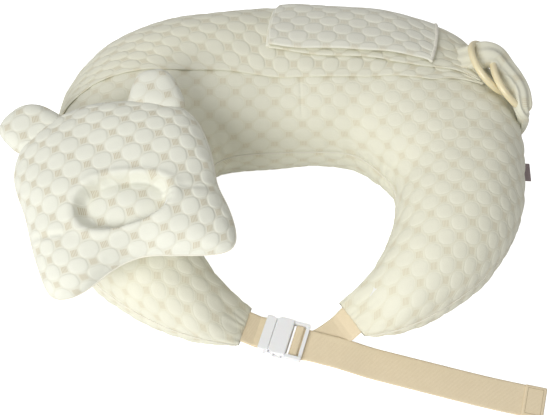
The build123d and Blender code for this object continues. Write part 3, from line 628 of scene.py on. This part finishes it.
def cushion_skin(name, top, step):
    side = 1 if top else -1
    stations, along = station_samples(step)
    fine_angle = np.linspace(0, 180, 361)
    count = int((280 if top else 270) / step)
    points, arc, angle = [], [], []
    for k in stations:
        row = surface(k, fine_angle * side, flat=not top)
        length = arc_length(row)
        t = np.linspace(0, length[-1], count)
        points.append(np.stack([np.interp(t, length, row[:, c]) for c in range(3)], -1))
        arc.append(t - np.interp(90, fine_angle, length))
        angle.append(np.interp(t, length, fine_angle))
    points, arc, angle = np.array(points), np.array(arc), np.array(angle)
    normal = grid_normals(points)
    if normal[len(stations) // 2, count // 2, 2] * side < 0:
        normal = -normal
    k = stations[:, None]
    mid_x, mid_y, dir_x, dir_y, _ = section(k)
    flat_x, flat_y = mid_x - dir_x * arc, mid_y - dir_y * arc
    height = skin_relief(points, k, along[:, None], angle, arc, flat_x, flat_y, top)
    skin = points + normal * height[..., None]
    skin[..., 2] = np.maximum(skin[..., 2], 0.02)
    uv = np.stack([flat_x, flat_y], -1)
    # both panels turn in at the tips and meet at the seam
    start = tip_rows(skin[0], skin[3])
    end = tip_rows(skin[-1], skin[-4])
    skin = np.concatenate([np.array(start[::-1]), skin, np.array(end)], 0)
    uv = np.concatenate([np.repeat(uv[:1], 3, 0), uv, np.repeat(uv[-1:], 3, 0)], 0)
    return mesh_grid(name, skin, uv)


fit(cushion_skin("cushion_skin_top", True, MESH_STEP),
    "cushion", QUILT, "quilted_knit", "main_cover_top")
fit(cushion_skin("cushion_skin_bottom", False, MESH_STEP),
    "cushion", QUILT, "quilted_knit", "main_cover_bottom")


# ---------------------------------------------------------------- guard band and flap
def guard_layer(start, end, low, high, offset, seed, rows, columns, wrinkle,
                swell=0.0, lift=0.0):
    """Middle surface, uv and normals of a cloth layer lying over the cushion.

    start and end give the station at the low edge and at the high edge.
    """
    t = np.linspace(0, 1, columns)[None]
    first = start[0] + (start[1] - start[0]) * t
    last = end[0] + (end[1] - end[0]) * t
    k = first + (last - first) * np.linspace(0, 1, rows)[:, None]
    angle = low(k) + (high(k) - low(k)) * t
    points = surface(k, angle, offset)
    normal = grid_normals(points)
    outside = surface(k, angle, offset + 5.0)
    normal = normal * np.sign(((outside - points) * normal).sum(-1).mean())
    u = running_total(np.linalg.norm(np.diff(points, axis=0), axis=2).mean(1))
    v = running_total(np.linalg.norm(np.diff(points, axis=1), axis=2).mean(0))
    from_edge = np.minimum(v, v[-1] - v)[None]
    flat_x, flat_y = np.broadcast_arrays(u[:, None] * 0.87 + 5 * seed, v[None] * 0.95)
    base = surface(k, angle)
    height = (pad_height(flat_x, flat_y, 0.9) * ramp(from_edge, 3.5, 12)
              + wrinkle * (0.5 * (Waves(seed, 34)(points) + 1)
                           + 0.6 * (Waves(seed + 1, 75)(points) + 1))
              + BROAD_HEIGHT * BROAD_WAVES(base) + MID_HEIGHT * MID_WAVES(base))
    # swell: a bulge on the -x side, towards the low edge; lift raises the high edge
    height = (height + swell * ramp(-k, -0.4, 1.2) * (1 - ramp(t, 0.45, 0.95))
              * ramp(k, -4.3, -3.2) * ramp(from_edge, -6, 10) + lift * ramp(t, 0.55, 1.0))
    return points + normal * height[..., None], np.stack([flat_x, flat_y], -1), normal


def guard_low(k):
    """Low edge of the guard, dipping lower on the -x side."""
    return monotone_curve(*GUARD_LOW)(k) - 6 * ramp(-k, 0.0, 1.2) * ramp(k, -4.3, -3.0)


coarser = 1
points, uv, _ = guard_layer(
    start=(-4.35, -4.35), end=(3.97, 3.97), low=guard_low, high=monotone_curve(*GUARD_HIGH),
    offset=1.6, seed=11, rows=440 // coarser, columns=90 // coarser, wrinkle=0.35, swell=3.6)
fit(cloth("guard_main", points, 1.8, uv, edge=1.6),
    "cushion", QUILT, "quilted_knit", "guard_band")
points, uv, _ = guard_layer(
    start=(-0.06, -0.38), end=(3.92, 3.92), low=monotone_curve(*RETURN_LOW),
    high=monotone_curve(*RETURN_HIGH), offset=4.0, seed=21, rows=230 // coarser,
    columns=70 // coarser, wrinkle=0.3, lift=0.9)
fit(cloth("guard_return", points, 1.8, uv, edge=1.6), "cushion", QUILT, "quilted_knit")
points, uv, normal = guard_layer(
    start=(-0.06, -0.40), end=(2.74, 3.16), low=monotone_curve(*FLAP_LOW),
    high=monotone_curve(*FLAP_HIGH), offset=6.8, seed=31, rows=190 // coarser,
    columns=64 // coarser, wrinkle=0.45, lift=2.6)
fit(cloth("guard_flap", points, 2.6, uv, edge=1.8), "cushion", FLAP_QUILT, "quilted_knit")

# rolled hem across the flap's end on the +x arm
fit(tube("flap_hem", points[-3] + normal[-3] * 0.9, 2.3, sides=12, flat=0.75, up=normal[-3],
         with_uv=True), "cushion", HEM, "quilted_knit")
# rounded fold across its other end, at the middle of the bend
fold_k, fold_angle = np.linspace(-0.06, -0.40, 40), np.linspace(44, 94, 40)
fold = surface(fold_k, fold_angle, 5.6)
fold_up = surface(fold_k, fold_angle, 9.0) - fold
fold_up /= np.linalg.norm(fold_up, axis=1, keepdims=True)
fit(tube("flap_fold", fold, 3.0, sides=14, flat=0.9, up=fold_up, with_uv=True),
    "cushion", FLAP_QUILT, "quilted_knit")

# ---------------------------------------------------------------- rings
RING_RADIUS, RING_ROD_RADIUS = 35.5, 4.2


def ring(name, centre, axis, body, replaced):
    axis = unit(axis)
    level = unit(np.array([-axis[1], axis[0], 0]))
    steep = np.cross(axis, level)
    a = np.linspace(0, 2 * math.pi, 120, endpoint=False)
    b = np.linspace(0, 2 * math.pi, 28, endpoint=False)
    outward = np.cos(a)[:, None] * level + np.sin(a)[:, None] * steep
    reach = RING_RADIUS + RING_ROD_RADIUS * np.cos(b)
    points = (centre + outward[:, None] * reach[None, :, None]
              + (RING_ROD_RADIUS * np.sin(b))[None, :, None] * axis)
    fit(mesh_grid(name, points, close_u=True, close_v=True), body, RING, "ring_plastic", replaced)


ring("sling_ring_front", np.array([249.3, -37.6, 150.7]), np.array([0.687, 0.063, 0.724]),
     "ring_front", "front_ring")
ring("sling_ring_rear", np.array([273.7, -57.2, 141.9]), np.array([0.702, 0.050, 0.710]),
     "ring_rear", "rear_ring")

# ---------------------------------------------------------------- gathered cloth at the rings
# x, y, z, half width, half thickness
# bulge at the rings, running down to the outer seam
GATHER = [(199.502, -21.848, 150, 20, 3.5), (215.639, -24.770, 156, 19.5, 5.0),
          (229.733, -25.747, 160, 19.5, 8), (241.475, -26.536, 163, 20.5, 10),
          (253.362, -30.215, 162, 19, 11), (262.593, -39.168, 157, 16.5, 11),
          (269.712, -49.666, 152, 15.5, 10.5), (275.941, -64.242, 148, 14.5, 10),
          (281.252, -80.246, 144, 13, 9), (281.713, -93.442, 139, 11, 8.5),
          (284.911, -94.084, 121, 9, 6.5), (286.281, -90.027, 97, 8.5, 4),
          (281.517, -91.128, 77, 11, 1.6)]
# second leg, on the side towards the cushion's middle
INNER_LEG = [(235.046, -33.248, 150, 9, 3), (246.710, -49.872, 146, 9, 3.5),
             (259.248, -64.407, 138, 8, 3), (267.695, -70.401, 126, 8, 3),
             (275.319, -76.429, 112, 8, 2.6), (280.857, -82.537, 96, 9, 2.2),
             (280.179, -89.478, 79, 11, 1.4)]


def gathered_cloth(name, rows, count, sides, folds, seed, up):
    """Flat roll of cloth along a path, with folds running lengthwise."""
    rows = spline_rows(rows, count)
    path, half_width, half_thick = rows[:, :3], rows[:, 3:4], rows[:, 4:5]
    side, lift = path_frame(path, up)
    turn = np.linspace(0, 2 * math.pi, sides, endpoint=False)
    cosine, sine = np.cos(turn), np.sin(turn)
    x = half_width * signed_power(cosine, 0.75)
    y = half_thick * signed_power(sine, 0.85)
    s = np.linspace(0, 1, count)[:, None]
    drift = 0.9 * np.sin(s * 7 + seed) + 0.5 * np.sin(s * 15 + 2 * seed)
    fold = (np.sin(x / np.maximum(half_width, 1) * math.pi * folds * 0.5 + drift)
            * (0.13 * half_thick + 0.25))
    y = y * (1 + 0.10 * np.sin(s * 21 + seed)) + fold * signed_power(sine, 0.5)
    points = path[:, None] + x[..., None] * side[:, None] + y[..., None] * lift[:, None]
    length = arc_length(path)[:, None] + seed * 9
    uv = np.stack(np.broadcast_arrays(length, turn[None] * 9.0), -1)
    ob = mesh_grid(name, points, uv, close_v=True)
    add_caps(ob, count, sides)
    return ob


fit(gathered_cloth("sling_gather", GATHER, count=220, sides=44, folds=5, seed=3,
                   up=(0.42, 0.0, 0.91)), "cushion", QUILT, "quilted_knit", "ring_holder")
fit(gathered_cloth("holder_inner_leg", INNER_LEG, count=90, sides=30, folds=3, seed=8,
                   up=(0.75, 0.0, 0.66)), "cushion", QUILT, "quilted_knit")

# ---------------------------------------------------------------- webbing
# Belt frame: u runs along the belt, v across it, z is height.
BELT_ORIGIN = np.array([-39.7, -315.0])
BELT_ANGLE = math.radians(-18.2)
BELT_COS, BELT_SIN = math.cos(BELT_ANGLE), math.sin(BELT_ANGLE)
WEB_WIDTH, WEB_THICK, WEB_COLUMNS = 40.0, 1.4, 25
WEB_EDGE = WEB_THICK / 2
TAIL_END = 333.0        # u of the belt's free end
ADJUSTER_Z = 4.05       # height of the webbing where it enters the adjuster
# short strap: where it meets the -x tip, and the bar it loops round
SHORT_END = (-60.5, -308.3)
BAR_U, BAR_Z, BAR_RADIUS, BAR_GAP = 4.5, 8.0, 1.6, 0.25


def belt_point(u, v, z):
    u, v, z = np.broadcast_arrays(*(np.asarray(value, float) for value in (u, v, z)))
    return np.stack([BELT_ORIGIN[0] + u * BELT_COS - v * BELT_SIN,
                     BELT_ORIGIN[1] + u * BELT_SIN + v * BELT_COS, z], -1)


def arc(u, z, radius, start, end, count):
    """u, z points round an arc, angles in degrees."""
    a = np.radians(np.linspace(start, end, count + 1))
    return list(zip(u + radius * np.cos(a), z + radius * np.sin(a)))


def webbing(name, path, step, sideways=None):
    """Strap along a u, z path; sideways gives its shift in v at each u."""
    path = np.array(path, float)
    length = arc_length(path)
    s = np.linspace(0, length[-1], max(int(length[-1] / step), 8))
    u, z = (np.interp(s, length, path[:, c])[:, None] for c in range(2))
    v = np.linspace(-WEB_WIDTH / 2, WEB_WIDTH / 2, WEB_COLUMNS)[None]
    shift = 0.0 if sideways is None else sideways(u)
    uv = np.stack(np.broadcast_arrays(s[:, None], v), -1)
    return cloth(name, belt_point(u, v + shift, z), WEB_THICK, uv, edge=WEB_EDGE)


def tail_bow(u):
    """Sideways curve of the belt towards its free end."""
    return 3.2 * ramp(u, 225, 345) * np.clip((u - 225) / 110, 0, 2)


# u, z: threaded up and over in the adjuster, down to the floor, end folded back as a hem
belt_path = (
    [(54.5, ADJUSTER_Z), (46.0, ADJUSTER_Z), (38.6, ADJUSTER_Z)]
    + arc(38.2, ADJUSTER_Z + 1.3, 1.3, 262, 178, 5) + [(36.9, 7.6)]
    + arc(38.2, 7.9, 1.3, 180, 92, 6) + [(39.5, 9.2), (43.6, 9.2)]
    + arc(44.2, 7.9, 1.3, 88, 0, 6) + [(45.5, 7.2)]
    + arc(46.8, 6.9, 1.35, 182, 268, 5)
    + [(52.0, 5.55), (64, 5.75), (82, 5.9), (96, 5.4), (110, 3.7), (122, 1.9), (132, 1.0),
       (142, 0.75), (TAIL_END - 26, 0.75), (TAIL_END - 2, 0.85)]
    + arc(TAIL_END - 2, 1.55, 0.72, -90, 90, 6)
    + [(TAIL_END - 8, 2.3), (TAIL_END - 25, 2.25)])
fit(webbing("belt_webbing", belt_path, step=0.8, sideways=tail_bow),
    "belt", WEBBING, "webbing", "long_strap")

# box stitch on the hem: the two lines across the belt, then the two along it
BOX_NEAR, BOX_FAR, BOX_V, STITCH = TAIL_END - 22, TAIL_END - 4.5, 16, 1.25
box_sides = (((BOX_NEAR, -BOX_V), (BOX_NEAR, BOX_V)), ((BOX_FAR, -BOX_V), (BOX_FAR, BOX_V)),
             ((BOX_NEAR, -BOX_V), (BOX_FAR, -BOX_V)), ((BOX_NEAR, BOX_V), (BOX_FAR, BOX_V)))
for i, ((u0, v0), (u1, v1)) in enumerate(box_sides):
    t = np.linspace(0, 1, 90)
    u = u0 + (u1 - u0) * t
    v = v0 + (v1 - v0) * t
    z = 3.0 + 0.12 * np.sin(t * np.hypot(u1 - u0, v1 - v0) / STITCH * math.pi * 0.5)
    fit(tube("hem_stitch_%d" % i, belt_point(u, v + tail_bow(u), z), 0.34),
        "belt", THREAD, "thread", *(("strap_bartacks",) if i == 0 else ()))


def belt_leg():
    """Webbing from the adjuster to the +x tip, swept between two edge curves."""
    outer, inner = np.array(OUTER_TIPS[1]), np.array(INNER_TIPS[1])
    across = unit(outer - inner)
    middle = (outer + inner) / 2
    inward = np.array([-across[1], across[0]])      # into the cushion
    half = WEB_WIDTH / 2
    t = np.linspace(0, 1, 70)[:, None]
    start_low, start_high = (belt_point(53.6, v, 0)[:2] for v in (-half, half))
    along = np.array([BELT_COS, BELT_SIN])
    low = hermite(start_low, middle + across * half, along * 42, inward * 60, t)
    high = hermite(start_high, middle - across * half, (along + [0, 0.35]) * 18,
                   inward * 26, t)
    share = np.linspace(0, 1, WEB_COLUMNS)
    v = share[None, :, None]
    plan = low[:, None] * (1 - v) + high[:, None] * v
    # the strap climbs from the adjuster's height to the tip seam
    z = np.interp((plan - middle) @ inward, [-90, -24, -18, -12, -6, -1, 3, 12],
                  [ADJUSTER_Z, ADJUSTER_Z, ADJUSTER_Z + 0.3, ADJUSTER_Z + 2.0,
                   ADJUSTER_Z + 5.6, 12.0, TIP_Z, TIP_Z])
    points = np.concatenate([plan, z[..., None]], -1)
    # three more rows run on inside the cushion
    inside = np.array([points[-1] + np.array([*(inward * reach), 0.0]) for reach in (3, 6, 9)])
    points = np.concatenate([points, inside], 0)
    uv = np.stack(np.broadcast_arrays(np.arange(len(points))[:, None] * 0.9,
                                      (share * WEB_WIDTH - half)[None]), -1)
    leg = cloth("belt_leg", points, WEB_THICK, uv, edge=WEB_EDGE)
    leg.data.materials.append(WEBBING)
    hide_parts("long_strap")
    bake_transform(leg)


belt_leg()

# short strap: out from the -x tip, round the bar and back
tip_u = ((SHORT_END[0] - BELT_ORIGIN[0]) * BELT_COS
         + (SHORT_END[1] - BELT_ORIGIN[1]) * BELT_SIN)
short_path = (
    [(tip_u - 6, 12.1), (tip_u + 2, 11.8), (tip_u + 8, 9.9), (-7, 7.4), (0, BAR_Z - 1.7)]
    + arc(BAR_U, BAR_Z, BAR_RADIUS + BAR_GAP + WEB_THICK / 2, -125, 125, 20)
    + [(0, BAR_Z + 1.7), (-7, 8.85), (tip_u + 8, 11.35), (tip_u + 2, 13.25),
       (tip_u - 6, 13.6)])
fit(webbing("short_webbing", short_path, step=0.6), "cushion", WEBBING, "webbing", "short_strap")

# ---------------------------------------------------------------- head pillow
# The pillow has its own plan axes: HEAD_X, HEAD_Y, and HEAD_UP out of its top.
HEAD_ORIGIN = np.array([-185.0, -205.0, 170.0])
HEAD_UP = unit(np.array([-0.1362, -0.2060, 0.9690]))
HEAD_X = unit(np.array([0.9907, -0.0283, 0.1332]))
HEAD_X = unit(HEAD_X - HEAD_UP * HEAD_X.dot(HEAD_UP))
HEAD_Y = np.cross(HEAD_UP, HEAD_X)
# x, y in the pillow's plan
HEAD_OUTLINE = [(-77, 86), (-108, 66), (-125, 40), (-127, 5), (-114, -32), (-104, -68),
                (-93, -98), (-80, -125), (-62, -131), (-40, -123), (-14, -104), (17, -91),
                (50, -91), (84, -94), (112, -92), (121, -78), (113, -45), (102, -18),
                (97, 12), (86, 50), (66, 79), (34, 93), (-2, 97), (-39, 97)]
EAR_LEFT = [(-70, 80), (-88, 98), (-108, 108), (-128, 105), (-145, 92), (-150, 76),
            (-140, 60), (-122, 46), (-100, 50), (-82, 64)]
EAR_RIGHT = [(0, 90), (4, 112), (13, 130), (31, 135), (48, 129), (60, 108), (66, 82),
             (50, 72), (30, 74), (12, 80)]
# the pillow's -y edge and the whole left ear sit a little lower in the plan
PLAN_DROP = 3.5
HEAD_OUTLINE = [(x, y - (PLAN_DROP if y < -80 else 0)) for x, y in HEAD_OUTLINE]
EAR_LEFT = [(x, y - PLAN_DROP) for x, y in EAR_LEFT]
HEAD_TOP, HEAD_BOTTOM = 27.0, -19.0     # crown heights from the rim
EAR_TOP, EAR_BOTTOM = 13.5, -12.0
HEAD_CELL_X, HEAD_CELL_Y = 34.0, 32.8   # jacquard cell, larger than the cushion's
HEAD_CLOTH_TURN = math.radians(12)
HEAD_CREASES = (((66, -25), (108, -25)), ((-118, -66), (-64, -69)))     # deepest at the end


def head_point(x, y, z):
    return HEAD_ORIGIN + x[..., None] * HEAD_X + y[..., None] * HEAD_Y + z[..., None] * HEAD_UP


def head_hollow(x, y):
    """Relief of the oval hollow, its raised lip and gathers, and the two creases."""
    tilt = math.radians(7)
    dx, dy = x - 3, y + 37
    oval_x = (dx * math.cos(tilt) + dy * math.sin(tilt)) / 49.0
    oval_y = ((-dx * math.sin(tilt) + dy * math.cos(tilt))
              / (30.0 - 5.0 * ramp(dx, -45, 50)))
    d = (abs(oval_x) ** 2.3 + abs(oval_y) ** 2.3) ** (1 / 2.3)
    turn = np.arctan2(oval_y, oval_x)
    height = (-(15.0 - 7.5 * (1 - np.clip(d, 0, 1) ** 2)) * (1 - ramp(d, 0.84, 1.12))
              + 2.2 * bell(d - 1.22, 0.14))
    height += 0.35 * np.sin(turn * 17 + 2 * np.sin(turn * 3)) * bell(d - 1.0, 0.16)
    for (x0, y0), (x1, y1) in HEAD_CREASES:
        length_squared = (x1 - x0) ** 2 + (y1 - y0) ** 2
        t = np.clip(((x - x0) * (x1 - x0) + (y - y0) * (y1 - y0)) / length_squared, 0, 1)
        distance = np.hypot(x - (x0 + t * (x1 - x0)), y - (y0 + t * (y1 - y0)))
        height -= 2.6 * (0.35 + 0.65 * t) * bell(distance, 3.4)
    return height


def pad_shell(name, outline, crown, rings, spokes, seed, hollow=False, inset=0.0):
    """Half of a stuffed pad: a dome over the outline, upwards or downwards."""
    rim = closed_spline(outline, spokes)
    centre = rim.mean(0)
    radius = (np.sin(np.linspace(0, math.pi / 2, rings)) ** 0.9)[:, None]
    x = centre[0] + (rim[None, :, 0] - centre[0]) * radius
    y = centre[1] + (rim[None, :, 1] - centre[1]) * radius
    z = crown * (1 - radius ** 3.2) ** 0.52 * np.ones_like(x)
    side = 1 if crown > 0 else -1
    along = arc_length(rim)
    along = along[None]
    from_rim = (1 - radius) * 100       # percent of the way to the centre
    # the cloth runs further than the plan near the rim
    stretch = 1 + 0.16 * radius ** 4
    cloth_x = centre[0] + (x - centre[0]) * stretch
    cloth_y = centre[1] + (y - centre[1]) * stretch
    cosine, sine = math.cos(HEAD_CLOTH_TURN), math.sin(HEAD_CLOTH_TURN)
    flat_x = (cosine * cloth_x + sine * cloth_y) * CELL_X / HEAD_CELL_X
    flat_y = (-sine * cloth_x + cosine * cloth_y) * CELL_Y / HEAD_CELL_Y
    height = pad_height(flat_x, flat_y, 0.75) * ramp(from_rim, 1.5, 9)
    pucker = (np.sin(along / 4.6 + 1.6 * np.sin(along / 19.0))
              + 0.5 * np.sin(along / 2.7))
    height += 0.6 * pucker * bell(from_rim, 9.0) * ramp(from_rim, 0.3, 3)
    points = np.stack([x, y, z], -1)
    height += (0.8 * Waves(seed, 70)(points) * ramp(from_rim, 2, 20)
               + 0.4 * Waves(seed + 1, 34)(points) * ramp(from_rim, 2, 14))
    if hollow:
        height += head_hollow(x, y)
    z = z + side * height * ramp(from_rim, 0.0, 3.0)
    if inset:
        x, y = (c + (value - c) * 0.965 for c, value in zip(centre, (x, y)))
        z = side * np.maximum(side * z - inset, 0.0)
    return mesh_grid(name, head_point(x, y, z), np.stack([flat_x, flat_y], -1), close_v=True)


skin_grid = dict(rings=105, spokes=460)
fill_grid = dict(rings=50, spokes=200, inset=3.4)
ear_grid = dict(rings=34, spokes=150)
fit(pad_shell("head_skin_top", HEAD_OUTLINE, HEAD_TOP, seed=41, hollow=True, **skin_grid),
    "head_pillow", HEAD_QUILT, "head_knit", "head_cover_top")
fit(pad_shell("head_skin_bottom", HEAD_OUTLINE, HEAD_BOTTOM, seed=45, **skin_grid),
    "head_pillow", HEAD_QUILT, "head_knit", "head_cover_bottom")
fit(pad_shell("head_filling_top", HEAD_OUTLINE, HEAD_TOP, seed=41, hollow=True, **fill_grid),
    "head_pillow", FIBRE, "fibre", "head_fill")
fit(pad_shell("head_filling_bottom", HEAD_OUTLINE, HEAD_BOTTOM, seed=45, **fill_grid),
    "head_pillow", FIBRE, "fibre")
for side, outline in (("left", EAR_LEFT), ("right", EAR_RIGHT)):
    for face, crown, seed in (("top", EAR_TOP, 51), ("bottom", EAR_BOTTOM, 53)):
        fit(pad_shell("ear_skin_%s_%s" % (side, face), outline, crown, seed=seed, **ear_grid),
            "head_pillow", HEAD_QUILT, "head_knit", "ear_" + side)

# cord round the rim seam
rim = closed_spline(HEAD_OUTLINE, 500)
rim = head_point(rim[:, 0], rim[:, 1], np.zeros(500))
fit(tube("head_rim_seam", np.concatenate([rim, rim[:1]]), 1.1, flat=0.8, up=HEAD_UP, caps=False),
    "head_pillow", HEM, "head_knit")

# ---------------------------------------------------------------- cushion seam ridges
# the outer ridge stops either side of the zip
ZIP_END = 1.85      # station
ridge = np.linspace(-8.98, 8.98, 900)
for name, angle, parts in (
        ("seam_outer", 0.0, (ridge[ridge < -ZIP_END], ridge[ridge > ZIP_END])),
        ("seam_inner", 180.0, (ridge,))):
    for i, stations in enumerate(parts):
        fit(tube("%s_%d" % (name, i), surface(stations, angle, -0.6), 0.9, flat=0.9),
            "cushion", HEM, "quilted_knit")


# ---------------------------------------------------------------- floor, world, lights, camera
def white_floor():
    """White floor that glows a little, for the camera only."""
    bpy.ops.mesh.primitive_plane_add(size=8, location=(0, 0, -0.0006))
    floor = bpy.context.object
    floor.name = "floor"
    sh = Shader("floor_white")
    sh.set(Base_Color=(0.9, 0.9, 0.9, 1), Roughness=0.9)
    glow = sh.node("ShaderNodeEmission")
    glow.inputs["Color"].default_value = (1, 1, 1, 1)
    glow.inputs["Strength"].default_value = 0.90
    lit = sh.node("ShaderNodeAddShader")
    light_path = sh.node("ShaderNodeLightPath")
    choice = sh.node("ShaderNodeMixShader")
    sh.link(light_path.outputs["Is Camera Ray"], choice.inputs[0])
    sh.link(sh.surface.outputs[0], lit.inputs[0])
    sh.link(glow.outputs[0], lit.inputs[1])
    sh.link(sh.surface.outputs[0], choice.inputs[1])
    sh.link(lit.outputs[0], choice.inputs[2])
    sh.link(choice.outputs[0], sh.output.inputs[0])
    floor.data.materials.append(sh.material)


def white_world(lighting, seen):
    """Near-white world: one strength for lighting, another as the camera sees it."""
    world = bpy.data.worlds.new("w")
    bpy.context.scene.world = world
    world.use_nodes = True
    tree = world.node_tree
    background = tree.nodes["Background"]
    background.inputs["Color"].default_value = (1.0, 0.995, 0.985, 1)
    light_path = tree.nodes.new("ShaderNodeLightPath")
    strength = tree.nodes.new("ShaderNodeMapRange")
    tree.links.new(light_path.outputs["Is Camera Ray"], strength.inputs[0])
    strength.inputs["To Min"].default_value = lighting
    strength.inputs["To Max"].default_value = seen
    tree.links.new(strength.outputs[0], background.inputs["Strength"])


def disk_light(name, location, size, power, colour):
    """Disk light aimed at the cushion; metres and watts."""
    light = bpy.data.lights.new(name, 'AREA')
    light.shape = 'DISK'
    light.size = size
    light.energy = power
    light.color = colour
    ob = bpy.data.objects.new(name, light)
    bpy.context.collection.objects.link(ob)
    ob.location = location
    aim = Vector((0, -0.12, 0.08)) - Vector(location)
    ob.rotation_euler = aim.to_track_quat('-Z', 'Y').to_euler()


def add_camera(target, elevation, azimuth, roll, distance):
    """Camera circling a target; angles in degrees, lengths in mm, azimuth 0 on the -y side."""
    el, az, ro = map(math.radians, (elevation, azimuth, roll))
    back = np.array([math.sin(az) * math.cos(el), -math.cos(az) * math.cos(el), math.sin(el)])
    level = np.array([math.cos(az), math.sin(az), 0.0])
    upright = np.cross(back, level)
    right = math.cos(ro) * level + math.sin(ro) * upright
    up = -math.sin(ro) * level + math.cos(ro) * upright
    eye = (np.array(target) + back * distance) * MM
    data = bpy.data.cameras.new("cam")
    camera = bpy.data.objects.new("cam", data)
    bpy.context.collection.objects.link(camera)
    data.lens = 69.643636
    data.sensor_width = 36
    data.shift_x = -0.0285454545
    data.shift_y = -0.0209090909
    data.clip_start = 0.05
    data.clip_end = 50
    rows = [(right[i], up[i], back[i], eye[i]) for i in range(3)]
    camera.matrix_world = Matrix((*rows, (0, 0, 0, 1)))
    bpy.context.scene.camera = camera


white_floor()
white_world(lighting=0.42, seen=1.0)
disk_light("key", (-0.95, -1.55, 1.1), size=1.3, power=25, colour=(1, 0.995, 0.98))
disk_light("top", (-0.7, 0.7, 1.7), size=1.6, power=6, colour=(1, 0.99, 0.99))
add_camera(target=(0, -156.0, 60.0), elevation=54.0, azimuth=-3.0, roll=0.6, distance=1300.0)
bpy.context.scene.view_settings.view_transform = 'Standard'
bpy.context.scene.view_settings.look = 'None'
